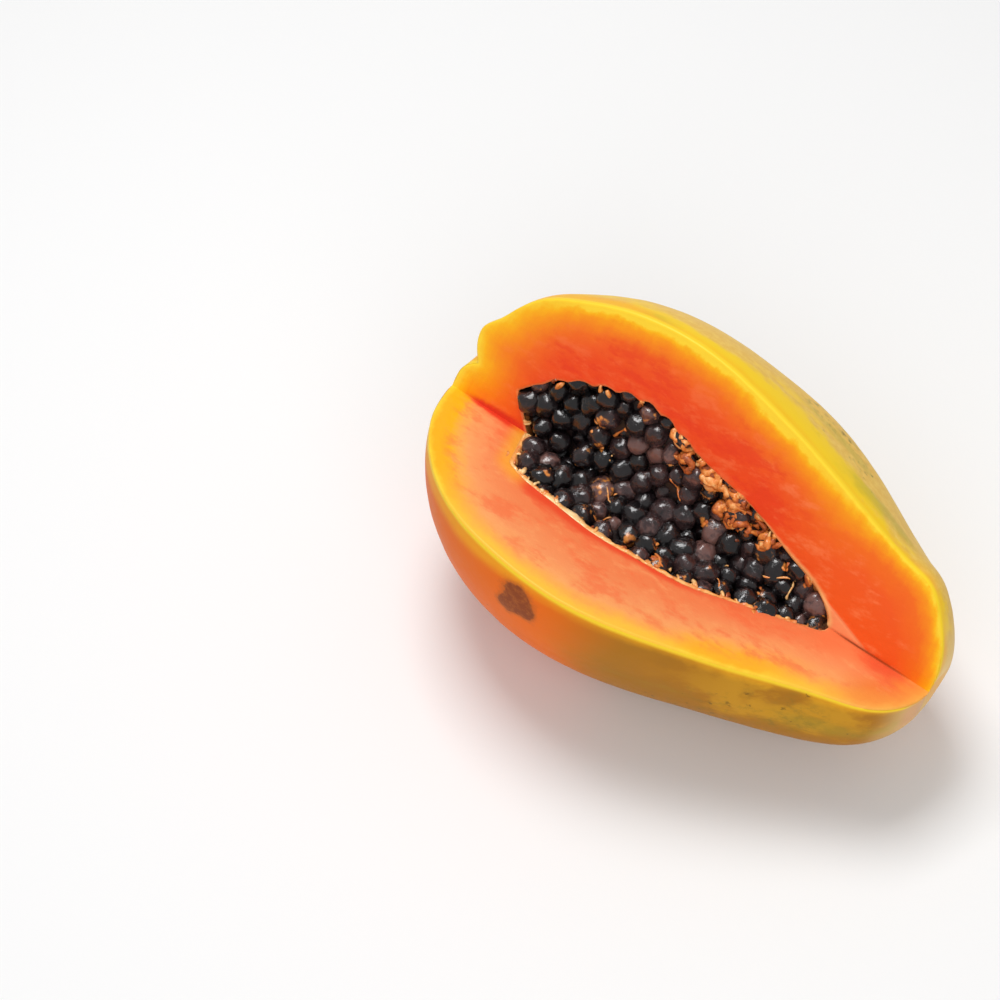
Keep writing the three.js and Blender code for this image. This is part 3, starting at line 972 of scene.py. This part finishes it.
def lining_piece(materials):
    bm = bmesh.new()
    layer = bm.verts.layers.float.new("tone")
    line, runs = front_edge()
    bmesh.ops.create_grid(bm, x_segments=LINING_STEPS, y_segments=7, size=1)
    for vert in bm.verts:
        place, inward = edge_place(line, runs, (vert.co.x + 1) / 2)
        share = (vert.co.y + 1) / 2
        x = place[0]
        wide = LINING_WIDTH + sum(more * math.exp(-((x - at) / run) ** 2) for at, run, more in LINING_WIDENINGS)
        wide *= 1 + 0.5 * noise.noise(Vector((x / 5, 9, place[1] / 5)))
        ragged = noise.noise(Vector((x / 2.0, 1, place[1] / 2))) + 0.3 * noise.noise(Vector((x / 0.7, 5, 0)))
        run = -0.7 + share * (0.7 + wide) + 0.9 * ragged * share ** 2
        rise = 0.28 * math.sin(math.pi * min(1, share * 1.3)) - 1.5 * share ** 3
        rise += 0.3 * noise.noise(Vector((x / 1.5, share * 3, place[1])))
        spot = place + inward * run
        vert.co = on_face(spot[0], spot[1], FRONT_FACE, rise - 0.15 * (1 - share))
        paleness = math.exp(-((x - LINING_PALE[0]) / LINING_PALE[1]) ** 2)
        vert[layer] = 0.2 + 0.45 * paleness + 0.55 * noise.noise(Vector((x / 3.5, 2, place[1] / 3.5))) + 0.2 * ragged
    draws = seeded_draws(FRAY_SERIES)
    for _ in range(FRAY_COUNT):
        place, inward = edge_place(line, runs, 0.02 + 0.95 * next(draws))
        run = 1.2 + 3.4 * next(draws) ** 2
        aside = np.array((inward[1], -inward[0])) * 5 * (next(draws) - 0.5)
        spots = (place - inward * 0.2, place + inward * run * 0.5 + aside * 0.3, place + inward * run + aside)
        path = bent(*(on_face(spot[0], spot[1], FRONT_FACE, rise) for spot, rise in zip(spots, (-0.2, 0.5, -1.2))))
        strand(bm, path, 0.25 + 0.5 * next(draws), (layer, 0.8 * next(draws)), 6, 8)
    place_in_object(bm)
    piece = finished("cavity_lining_edge", bm, materials)
    solid = piece.modifiers.new("thickness", "SOLIDIFY")
    solid.thickness = LINING_THICKNESS * MM
    solid.offset = -1
    return piece


# Materials

def linear(red, green, blue):
    """A colour given from 0 to 255, as a shader takes it."""
    def one(value):
        value /= 255
        return value / 12.92 if value <= 0.04045 else ((value + 0.055) / 1.055) ** 2.4
    return (one(red), one(green), one(blue), 1.0)


RIM_GOLD = linear(248, 208, 50)
AMBER = linear(248, 180, 18)
DEEP_AMBER = linear(246, 154, 18)
ORANGE = linear(244, 134, 22)
RIPE_ORANGE = linear(240, 108, 26)
CORAL = linear(238, 90, 30)
RIPE_RED = linear(235, 74, 26)
PALE_GOLD = linear(249, 192, 62)
PEACH = linear(247, 173, 76)
WARM_PEACH = linear(243, 162, 96)
SALMON = linear(240, 148, 92)
DEEP_SALMON = linear(237, 130, 78)
BLOSSOM_AMBER = linear(248, 178, 22)
STEM_PEACH = linear(242, 150, 66)
STEM_SALMON = linear(236, 130, 60)
SEAM_RED = linear(226, 66, 38)
STAIN_RED = linear(226, 76, 42)
SEAM_BROWN = linear(150, 70, 34)
CORNER_GOLD = linear(246, 170, 48)
LIP_CREAM = linear(248, 190, 120)
FLAP_PINK_AND_PAINTED_HIGHLIGHT = linear(246, 158, 106)
STROKE_PINK = linear(248, 134, 80)
STROKE_RED = linear(228, 58, 26)
STROKE_SALMON = linear(238, 108, 62)
STROKE_PEACH = linear(248, 180, 114)
LIP_RED = linear(230, 72, 38)
FOLD_BROWN = linear(205, 96, 50)

BACK_MIDDLE = ((0, RIM_GOLD), (2, RIM_GOLD), (3, AMBER), (4.5, DEEP_AMBER), (7, ORANGE), (10, RIPE_ORANGE),
               (14, CORAL), (19, RIPE_RED), (28, RIPE_RED))
BACK_ENDS = ((0, RIM_GOLD), (2.4, AMBER), (5.5, DEEP_AMBER), (9, ORANGE), (14, RIPE_ORANGE), (28, CORAL))
# The front face's colours are paler than the back face's: partly the flesh's own colour, partly painted sheen of this
# upward-facing cut
FRONT_MIDDLE = ((0, PALE_GOLD), (1.6, PALE_GOLD), (4.5, PEACH), (8, WARM_PEACH), (13, SALMON), (22, DEEP_SALMON))
FRONT_BLOSSOM = ((0, RIM_GOLD), (2, BLOSSOM_AMBER), (6.5, BLOSSOM_AMBER), (9, PEACH), (12, WARM_PEACH),
                 (17, SALMON), (24, DEEP_SALMON))
FRONT_STEM = ((0, PEACH), (3, STEM_PEACH), (8, STEM_SALMON), (14, DEEP_SALMON), (22, CORAL))


def node(tree, kind, inputs=None, **settings):
    made = tree.nodes.new("ShaderNode" + kind)
    for name, value in settings.items():
        setattr(made, name, value)
    for name, value in (inputs or {}).items():
        if isinstance(value, bpy.types.NodeSocket):
            tree.links.new(value, made.inputs[name])
        else:
            made.inputs[name].default_value = value
    return made


def sum_of(tree, operation, first, second=0.0, third=0.0):
    return node(tree, "Math", {0: first, 1: second, 2: third}, operation=operation).outputs[0]


def product(tree, *values):
    total = values[0]
    for value in values[1:]:
        total = sum_of(tree, "MULTIPLY", total, value)
    return total


def attribute(tree, name):
    return node(tree, "Attribute", attribute_name=name).outputs["Fac"]


def object_place(tree):
    return node(tree, "TexCoord").outputs["Object"]


def stretched(tree, vector, scale):
    return node(tree, "Mapping", {"Vector": vector, "Scale": scale}).outputs["Vector"]


def cloud(tree, vector, scale, detail=3.0, roughness=0.5):
    settings = {"Vector": vector, "Scale": scale, "Detail": detail, "Roughness": roughness}
    return node(tree, "TexNoise", settings).outputs["Fac"]


def between(tree, value, low, high):
    """From 0 at low to 1 at high, smoothly."""
    ends = {"Value": value, "From Min": low, "From Max": high}
    return node(tree, "MapRange", ends, interpolation_type="SMOOTHSTEP").outputs["Result"]


def blended(tree, factor, first, second):
    return node(tree, "Mix", {0: factor, 6: first, 7: second}, data_type="RGBA").outputs[2]


def ramp(tree, factor, stops):
    made = node(tree, "ValToRGB", {"Fac": factor})
    elements = made.color_ramp.elements
    while len(elements) < len(stops):
        elements.new(0.5)
    for element, (position, colour) in zip(elements, stops):
        element.position = position
        element.color = colour
    return made.outputs["Color"]


def depth_ramp(tree, depth, stops):
    """Colours by depth in millimetres."""
    deepest = stops[-1][0]
    share = sum_of(tree, "DIVIDE", depth, deepest)
    return ramp(tree, share, [(place / deepest, colour) for place, colour in stops])


def new_material(name, roughness, coat=0.0, coat_roughness=0.1):
    material = bpy.data.materials.new(name)
    material.use_nodes = True
    shader = material.node_tree.nodes["Principled BSDF"]
    shader.inputs["Roughness"].default_value = roughness
    shader.inputs["Coat Weight"].default_value = coat
    shader.inputs["Coat Roughness"].default_value = coat_roughness
    return material, material.node_tree, shader


def feed(tree, shader, name, value):
    tree.links.new(value, shader.inputs[name])


def bumped(tree, shader, height, strength, distance):
    made = node(tree, "Bump", {"Height": height, "Strength": strength, "Distance": distance})
    feed(tree, shader, "Normal", made.outputs["Normal"])


def new_group(name, inputs, outputs):
    """An empty node group, what it is given and what it puts out."""
    group = bpy.data.node_groups.new(name, "ShaderNodeTree")
    for title, kind in inputs.items():
        group.interface.new_socket(title, in_out="INPUT", socket_type="NodeSocket" + kind)
    for title in outputs:
        group.interface.new_socket(title, in_out="OUTPUT", socket_type="NodeSocketFloat")
    given = group.nodes.new("NodeGroupInput").outputs
    wanted = group.nodes.new("NodeGroupOutput").inputs
    return group, given, wanted


def flesh_grain_group():
    """Grain of cut flesh: streaks from the rim inwards, mottles, fine strokes along the fruit, the height
    of them, and the depth below the rim as the colours follow it."""
    group, given, wanted = new_group(
        "flesh_grain", {"Along": "Float", "Rim Gap": "Float", "Place": "Vector", "Wander": "Float"},
        ("Streaks", "Mottles", "Strokes", "Height", "Depth"))
    sheet = node(group, "CombineXYZ", {"X": product(group, given["Along"], 0.22),
                                       "Y": product(group, given["Rim Gap"], 0.12)}).outputs["Vector"]
    streaks = cloud(group, sheet, 1.0, 5.0, 0.62)
    drawn = stretched(group, given["Place"], (0.5, 1.0, 1.0))
    mottles = cloud(group, drawn, 130.0, 5.0, 0.66)
    strokes = cloud(group, drawn, 290.0, 4.0, 0.66)
    fine = cloud(group, given["Place"], 900.0, 2.0, 0.5)
    both = sum_of(group, "ADD", streaks, mottles)
    wandering = product(group, sum_of(group, "SUBTRACT", both, 1.0), given["Wander"])
    depth = sum_of(group, "MAXIMUM", sum_of(group, "ADD", given["Rim Gap"], wandering), 0.0)
    group.links.new(streaks, wanted["Streaks"])
    group.links.new(mottles, wanted["Mottles"])
    group.links.new(strokes, wanted["Strokes"])
    group.links.new(sum_of(group, "MULTIPLY_ADD", fine, 0.4, both), wanted["Height"])
    group.links.new(depth, wanted["Depth"])
    return group


def crease_marks_group():
    """Where the red seam at the blossom end and the brown line at the stem end lie."""
    group, given, wanted = new_group(
        "crease_marks", {"Along": "Float", "Crease Gap": "Float", "Streaks": "Float"}, ("Red", "Brown"))
    width = sum_of(group, "MULTIPLY_ADD", between(group, given["Along"], 6, 22), 1.4, 0.5)
    width = sum_of(group, "MULTIPLY_ADD", given["Streaks"], 2.0, width)
    red = between(group, sum_of(group, "DIVIDE", given["Crease Gap"], width), 1.0, 0.25)
    red = product(group, red, between(group, given["Along"], 36, 29), between(group, given["Along"], 4, 11))
    brown = product(group, between(group, given["Crease Gap"], 0.7, 0.15), between(group, given["Along"], 137, 146),
                    between(group, given["Along"], 168, 160))
    group.links.new(red, wanted["Red"])
    group.links.new(brown, wanted["Brown"])
    return group


def wet_tissue_group():
    """Uneven tone and the height of soft, wet tissue."""
    group, given, wanted = new_group(
        "wet_tissue", {"Tone": "Float", "Place": "Vector", "Scale": "Float"}, ("Tone", "Mottles", "Height"))
    mottles = cloud(group, given["Place"], given["Scale"], 4.0, 0.6)
    swing = sum_of(group, "MULTIPLY_ADD", mottles, 1.1, -0.55)
    group.links.new(sum_of(group, "ADD", given["Tone"], swing), wanted["Tone"])
    group.links.new(mottles, wanted["Mottles"])
    group.links.new(mottles, wanted["Height"])
    return group


FLESH_GRAIN_GROUP = flesh_grain_group()
CREASE_MARKS_GROUP = crease_marks_group()
WET_TISSUE_GROUP = wet_tissue_group()


def grouped(tree, group, inputs):
    made = tree.nodes.new("ShaderNodeGroup")
    made.node_tree = group
    for name, value in inputs.items():
        if isinstance(value, bpy.types.NodeSocket):
            tree.links.new(value, made.inputs[name])
        else:
            made.inputs[name].default_value = value
    return made.outputs


def flesh_start(name, roughness, coat, wander):
    """A flesh material with its grain and crease marks placed."""
    material, tree, shader = new_material(name, roughness, coat, 0.25)
    shader.inputs["Specular IOR Level"].default_value = 0.25
    along = attribute(tree, "along")
    grain = grouped(tree, FLESH_GRAIN_GROUP, {"Along": along, "Rim Gap": attribute(tree, "rim_gap"),
                                              "Place": object_place(tree), "Wander": wander})
    marks = grouped(tree, CREASE_MARKS_GROUP, {"Along": along, "Crease Gap": attribute(tree, "crease_gap"),
                                               "Streaks": grain["Streaks"]})
    return material, tree, shader, along, grain, marks


def back_flesh():
    material, tree, shader, along, grain, marks = flesh_start("back_flesh", 0.42, 0.06, 5.0)
    ends = sum_of(tree, "MAXIMUM", between(tree, along, 32, 12), between(tree, along, 100, 136))
    steeper = sum_of(tree, "MULTIPLY_ADD", between(tree, along, 116, 148), 1.1, 1.0)
    colour = blended(tree, ends, depth_ramp(tree, grain["Depth"], BACK_MIDDLE),
                     depth_ramp(tree, product(tree, grain["Depth"], steeper), BACK_ENDS))
    inside = between(tree, grain["Depth"], 6, 13)
    redder = product(tree, between(tree, grain["Mottles"], 0.53, 0.4), inside, sum_of(tree, "SUBTRACT", 1.0, ends))
    colour = blended(tree, product(tree, redder, 0.6), colour, STROKE_RED)
    stroked = between(tree, sum_of(tree, "MULTIPLY_ADD", grain["Mottles"], 0.7, grain["Strokes"]), 0.84, 1.12)
    paler = product(tree, stroked, inside, sum_of(tree, "MULTIPLY_ADD", between(tree, along, 60, 120), 0.25, 0.25))
    colour = blended(tree, paler, colour, STROKE_PINK)
    colour = blended(tree, marks["Red"], colour, SEAM_RED)
    crease_gap = attribute(tree, "crease_gap")
    edge = sum_of(tree, "MULTIPLY_ADD", along, -FLAP_TAPER, FLAP_WIDTH + FLAP_START * FLAP_TAPER)
    under = sum_of(tree, "SUBTRACT", edge, crease_gap)
    flap = product(tree, between(tree, under, 0.0, 0.8), between(tree, along, FLAP_START - 3, FLAP_START + 1))
    # The flap is painted pale pink: partly its own colour, partly a painted highlight along the crease
    colour = blended(tree, product(tree, flap, 0.75), colour, FLAP_PINK_AND_PAINTED_HIGHLIGHT)
    fold = product(tree, flap, between(tree, under, 1.1, 0.5), 0.4)
    colour = blended(tree, fold, colour, FOLD_BROWN)
    colour = blended(tree, product(tree, marks["Brown"], 0.6), colour, SEAM_BROWN)
    width = sum_of(tree, "MULTIPLY_ADD", between(tree, along, 100, 126), 1.2, 0.3)
    width = sum_of(tree, "MULTIPLY_ADD", grain["Strokes"], 1.6, width)
    lip = between(tree, sum_of(tree, "DIVIDE", attribute(tree, "lip_gap"), width), 1.0, 0.2)
    strength = sum_of(tree, "MULTIPLY_ADD", between(tree, along, 88, 108), 0.45, 0.3)
    colour = blended(tree, product(tree, lip, strength), colour, LIP_CREAM)
    feed(tree, shader, "Base Color", colour)
    bumped(tree, shader, grain["Height"], 0.3, 0.0005)
    return material


def front_flesh_with_painted_sheen():
    # Paler than the back face, partly as painted sheen
    material, tree, shader, along, grain, marks = flesh_start("front_flesh_with_painted_sheen", 0.4, 0.08, 4.0)
    golden = product(tree, between(tree, along, 102, 114), between(tree, along, 146, 128), 0.75)
    golden = sum_of(tree, "MAXIMUM", between(tree, along, 40, 14), golden)
    colour = blended(tree, golden, depth_ramp(tree, grain["Depth"], FRONT_MIDDLE),
                     depth_ramp(tree, grain["Depth"], FRONT_BLOSSOM))
    colour = blended(tree, between(tree, along, 146, 160), colour, depth_ramp(tree, grain["Depth"], FRONT_STEM))
    inside = between(tree, grain["Depth"], 3, 9)
    deeper = product(tree, between(tree, grain["Mottles"], 0.46, 0.62), inside, 0.6)
    colour = blended(tree, deeper, colour, STROKE_SALMON)
    paler = product(tree, between(tree, grain["Strokes"], 0.5, 0.72), inside, 0.3)
    colour = blended(tree, paler, colour, STROKE_PEACH)
    lip_gap = attribute(tree, "lip_gap")
    stem = product(tree, between(tree, along, 98, 116), between(tree, lip_gap, 15, 5), 0.4)
    colour = blended(tree, stem, colour, STROKE_SALMON)
    height = sum_of(tree, "MULTIPLY_ADD", between(tree, along, 74, 50), 2.2, 0.9)
    height = sum_of(tree, "MULTIPLY_ADD", grain["Mottles"], 5.5, height)
    red = between(tree, sum_of(tree, "DIVIDE", lip_gap, height), 1.15, 0.35)
    stretch = product(tree, between(tree, along, 33, 42), between(tree, along, 128, 84))
    colour = blended(tree, product(tree, red, stretch, 0.92), colour, LIP_RED)
    crease_gap = attribute(tree, "crease_gap")
    plume = sum_of(tree, "MULTIPLY_ADD", grain["Mottles"], 9.0, 2.5)
    stain = product(tree, between(tree, sum_of(tree, "DIVIDE", crease_gap, plume), 1.0, 0.35),
                    between(tree, along, 147, 156), between(tree, along, 167, 160), 0.6)
    colour = blended(tree, stain, colour, STAIN_RED)
    colour = blended(tree, marks["Red"], colour, SEAM_RED)
    colour = blended(tree, product(tree, marks["Brown"], 0.6), colour, SEAM_BROWN)
    corner = product(tree, between(tree, along, 42, 34), between(tree, lip_gap, 7, 1), 0.75)
    colour = blended(tree, corner, colour, CORNER_GOLD)
    colour = blended(tree, product(tree, between(tree, lip_gap, 1.0, 0.3), 0.8), colour, LIP_CREAM)
    feed(tree, shader, "Base Color", colour)
    bumped(tree, shader, grain["Height"], 0.3, 0.0005)
    return material


CREAM = linear(232, 184, 76)
PALE_CREAM = linear(240, 200, 98)
FLANK_YELLOW = linear(240, 178, 42)
FLANK_ORANGE = linear(232, 140, 34)
RIPE_YELLOW = linear(248, 206, 38)
# OCHRE, DARK_OCHRE and WARM_ORANGE are partly the lower skin's own colours and partly painted shade of the underside
OCHRE = linear(164, 108, 26)
GOLDEN_OCHRE = linear(222, 170, 40)
DARK_OCHRE = linear(150, 96, 30)
WARM_ORANGE = linear(232, 104, 12)
LEAF_GREEN = linear(166, 156, 50)
OLIVE = linear(122, 104, 38)
SPECK_BROWN = linear(92, 72, 26)
BRUISE_BROWN = linear(122, 58, 26)
BRUISE_RUST = linear(158, 84, 36)
SCAR_PINK = linear(216, 160, 120)
STEM_BEIGE = linear(236, 202, 136)
BAND_GOLD_AND_PAINTED_LIGHT = linear(246, 172, 30)


def papaya_skin():
    material, tree, shader = new_material("papaya_skin", 0.5, 0.04, 0.3)
    shader.inputs["Specular IOR Level"].default_value = 0.05
    place = object_place(tree)
    drawn = stretched(tree, place, (0.5, 1.0, 1.0))
    patchy = cloud(tree, drawn, 40.0, 5.0, 0.64)
    broad = cloud(tree, drawn, 15.0, 3.0, 0.55)
    mottle = cloud(tree, place, 420.0, 4.0, 0.7)
    rim_gap = attribute(tree, "rim_gap")
    colour = blended(tree, between(tree, mottle, 0.35, 0.7), CREAM, PALE_CREAM)
    ripe = sum_of(tree, "MULTIPLY_ADD", attribute(tree, "ripe"), 0.34, patchy)
    ripe = sum_of(tree, "MULTIPLY_ADD", between(tree, rim_gap, -9, 0), 0.1, ripe)
    colour = blended(tree, between(tree, ripe, 0.55, 0.68), colour, RIPE_YELLOW)
    along = sum_of(tree, "MULTIPLY_ADD", broad, 30.0, attribute(tree, "along"))
    # The lower skin towards the front face is orange and ochre; these colours are partly the skin's own and partly
    # painted shade of the underside
    underside_with_painted_shade = blended(tree, between(tree, along, 112, 80), OCHRE, WARM_ORANGE)
    darker = product(tree, between(tree, patchy, 0.46, 0.66), between(tree, along, 84, 112), 0.55)
    underside_with_painted_shade = blended(tree, darker, underside_with_painted_shade, DARK_OCHRE)
    golden = product(tree, between(tree, patchy, 0.52, 0.4), between(tree, along, 110, 150), 0.45)
    underside_with_painted_shade = blended(tree, golden, underside_with_painted_shade, GOLDEN_OCHRE)
    around = sum_of(tree, "MULTIPLY_ADD", broad, 0.3, attribute(tree, "around"))
    flank = blended(tree, between(tree, patchy, 0.42, 0.6), FLANK_ORANGE, FLANK_YELLOW)
    colour = blended(tree, product(tree, between(tree, around, 0.98, 0.74), 0.9), colour, flank)
    colour = blended(tree, product(tree, between(tree, around, 0.68, 0.5), 0.94), colour, underside_with_painted_shade)
    colour = blended(tree, product(tree, between(tree, along, 178, 190), 0.85), colour, STEM_BEIGE)
    # A gold band on the skin along the rim: partly the skin's own colour, and, widened towards the blossom end,
    # partly painted light on the lower skin
    gold_band_and_painted_light = sum_of(tree, "MULTIPLY_ADD", patchy, -9.0, rim_gap)
    gold_band_and_painted_light = sum_of(tree, "MULTIPLY_ADD", between(tree, along, 76, 50), 5.0, gold_band_and_painted_light)
    colour = blended(tree, product(tree, between(tree, gold_band_and_painted_light, -10, -4.5), 0.7), colour, BAND_GOLD_AND_PAINTED_LIGHT)
    green = sum_of(tree, "MULTIPLY_ADD", attribute(tree, "green"), 0.3, patchy)
    colour = blended(tree, product(tree, between(tree, green, 0.6, 0.86), 0.45), colour, LEAF_GREEN)
    colour = blended(tree, between(tree, rim_gap, -2.8, -1.1), colour, RIM_GOLD)
    wobble = node(tree, "TexNoise", {"Vector": place, "Scale": 900.0, "Detail": 3.0}).outputs["Color"]
    moved = node(tree, "VectorMath", {0: wobble, 1: (0.0026, 0.0026, 0.0026)}, operation="MULTIPLY").outputs[0]
    moved = node(tree, "VectorMath", {0: place, 1: moved}, operation="ADD").outputs[0]
    spots = node(tree, "TexVoronoi", {"Vector": moved, "Scale": 210.0}).outputs["Distance"]
    crowd = sum_of(tree, "MULTIPLY_ADD", attribute(tree, "speckled"), 0.32, cloud(tree, place, 110.0, 3.0))
    ragged = cloud(tree, place, 240.0, 4.0, 0.7)
    smudge = product(tree, between(tree, crowd, 0.66, 0.9), between(tree, ragged, 0.48, 0.66), 0.4)
    colour = blended(tree, smudge, colour, OLIVE)
    size = sum_of(tree, "MULTIPLY_ADD", between(tree, crowd, 0.5, 1.0), 0.26, 0.02)
    speck = product(tree, between(tree, sum_of(tree, "DIVIDE", spots, size), 1.0, 0.4), 0.6)
    colour = blended(tree, speck, colour, SPECK_BROWN)
    bruise = sum_of(tree, "MULTIPLY_ADD", ragged, 0.7, -0.35)
    bruise = sum_of(tree, "ADD", bruise, attribute(tree, "bruise"))
    colour = blended(tree, product(tree, between(tree, bruise, 0.1, 0.5), 0.5), colour, BRUISE_RUST)
    dark = blended(tree, between(tree, mottle, 0.42, 0.68), BRUISE_BROWN, BRUISE_RUST)
    colour = blended(tree, product(tree, between(tree, bruise, 0.4, 0.56), 0.85), colour, dark)
    scar = product(tree, between(tree, attribute(tree, "scar"), 0.3, 0.8), 0.7)
    colour = blended(tree, scar, colour, SCAR_PINK)
    feed(tree, shader, "Base Color", colour)
    rough = node(tree, "MapRange", {"Value": mottle, "To Min": 0.34, "To Max": 0.52}).outputs["Result"]
    feed(tree, shader, "Roughness", rough)
    bumped(tree, shader, mottle, 0.12, 0.0005)
    return material


def tissue(name, roughness, coat, tone, scale, shades, strength):
    """A soft, wet material whose colour follows a tone; gives what more colours need."""
    material, tree, shader = new_material(name, roughness, coat, 0.06)
    place = object_place(tree)
    wet = grouped(tree, WET_TISSUE_GROUP, {"Tone": attribute(tree, tone) if tone else 0.5, "Place": place,
                                           "Scale": scale})
    colour = ramp(tree, wet["Tone"], shades)
    feed(tree, shader, "Base Color", colour)
    bumped(tree, shader, wet["Height"], strength, 0.0006)
    return material, tree, shader, place, colour


PULP_BROWN = linear(150, 74, 30)
PULP_AMBER = linear(230, 146, 62)


def cavity_wall():
    shades = ((0.2, linear(206, 92, 40)), (0.8, linear(246, 166, 88)))
    return tissue("cavity_wall", 0.4, 0.3, None, 260.0, shades, 0.5)[0]


def seed_coat():
    shades = ((0.0, linear(7, 5, 7)), (0.45, linear(24, 17, 19)), (0.8, linear(62, 43, 43)),
              (1.0, linear(108, 76, 70)))
    material, tree, shader, place, colour = tissue("seed_coat", 0.2, 0.55, "tone", 420.0, shades, 0.8)
    shader.inputs["Specular IOR Level"].default_value = 0.6
    blots = cloud(tree, place, 520.0, 3.0)
    smear = sum_of(tree, "MULTIPLY_ADD", blots, 0.9, attribute(tree, "residue"))
    film = blended(tree, between(tree, blots, 0.4, 0.66), PULP_BROWN, PULP_AMBER)
    covered = product(tree, between(tree, smear, 1.14, 1.34), 0.85)
    feed(tree, shader, "Base Color", blended(tree, covered, colour, film))
    return material


def dark_bed():
    shades = ((0.2, linear(8, 6, 8)), (0.8, linear(40, 24, 20)))
    return tissue("dark_bed", 0.5, 0.3, None, 300.0, shades, 0.6)[0]


def orange_pulp():
    shades = ((0.0, linear(104, 46, 22)), (0.3, linear(182, 88, 36)), (0.65, linear(232, 138, 60)),
              (1.0, linear(250, 200, 132)))
    return tissue("orange_pulp", 0.42, 0.35, "tone", 620.0, shades, 0.7)[0]


def pale_lining():
    shades = ((0.0, linear(226, 126, 58)), (0.4, linear(244, 176, 96)), (1.0, linear(252, 220, 160)))
    return tissue("pale_lining", 0.36, 0.4, "tone", 420.0, shades, 0.4)[0]


# Build

settled = settled_seeds()
fruit = fruit_piece([papaya_skin(), front_flesh_with_painted_sheen(), back_flesh(), cavity_wall()])
seeds = seeds_piece(settled, [seed_coat(), dark_bed()])
pulp = pulp_piece(settled, [orange_pulp()])
lining = lining_piece([pale_lining()])
for piece in (fruit, seeds, pulp, lining):
    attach(piece, "root")
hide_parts("fruit")
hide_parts("seeds")


# Floor, light and camera

CAMERA_AZIMUTH = math.radians(35.13)
CAMERA_HEIGHT = math.radians(52.79)
CAMERA_DISTANCE = 0.9
CAMERA_AIM = Vector((-0.0508, -0.02695, 0.0566))
CAMERA_LENS = 108.54
SENSOR = 36.0
LIGHT_AIM = (0, 0, 0.05)
SKY_STRENGTH = 0.38
OVERHEAD_PLACE = (-0.25, 0.12, 0.92)
OVERHEAD_SIZE = 0.4
OVERHEAD_POWER = 5.2
FILL_PLACE = (0.6, -0.85, 0.7)
FILL_SIZE = 1.2
FILL_POWER = 7.5


def floor():
    bm = bmesh.new()
    bmesh.ops.create_grid(bm, x_segments=1, y_segments=1, size=3)
    material, tree, shader = new_material("floor_paint", 0.8)
    shader.inputs["Base Color"].default_value = (0.9, 0.9, 0.9, 1)
    finished("floor", bm, [material])


def softbox(name, place, size, power, mirrored=True):
    data = bpy.data.lights.new(name, "AREA")
    data.size = size
    data.energy = power
    lamp = bpy.data.objects.new(name, data)
    lamp.visible_glossy = mirrored
    bpy.context.scene.collection.objects.link(lamp)
    lamp.location = place
    lamp.rotation_euler = (Vector(LIGHT_AIM) - Vector(place)).to_track_quat("-Z", "Y").to_euler()


def camera():
    data = bpy.data.cameras.new("camera")
    data.lens = CAMERA_LENS
    data.sensor_width = SENSOR
    data.sensor_fit = "HORIZONTAL"
    view = bpy.data.objects.new("camera", data)
    bpy.context.scene.collection.objects.link(view)
    flat = math.cos(CAMERA_HEIGHT)
    towards = Vector((math.sin(CAMERA_AZIMUTH) * flat, -math.cos(CAMERA_AZIMUTH) * flat, math.sin(CAMERA_HEIGHT)))
    view.location = CAMERA_AIM + towards * CAMERA_DISTANCE
    view.rotation_euler = (-towards).to_track_quat("-Z", "Y").to_euler()
    bpy.context.scene.camera = view


def studio():
    world = bpy.data.worlds.new("studio")
    bpy.context.scene.world = world
    world.use_nodes = True
    sky = world.node_tree.nodes["Background"].inputs
    sky["Color"].default_value = (1, 1, 1, 1)
    sky["Strength"].default_value = SKY_STRENGTH
    softbox("overhead", OVERHEAD_PLACE, OVERHEAD_SIZE, OVERHEAD_POWER)
    softbox("fill", FILL_PLACE, FILL_SIZE, FILL_POWER, mirrored=False)
    bpy.context.scene.view_settings.view_transform = "Standard"


floor()
studio()
camera()
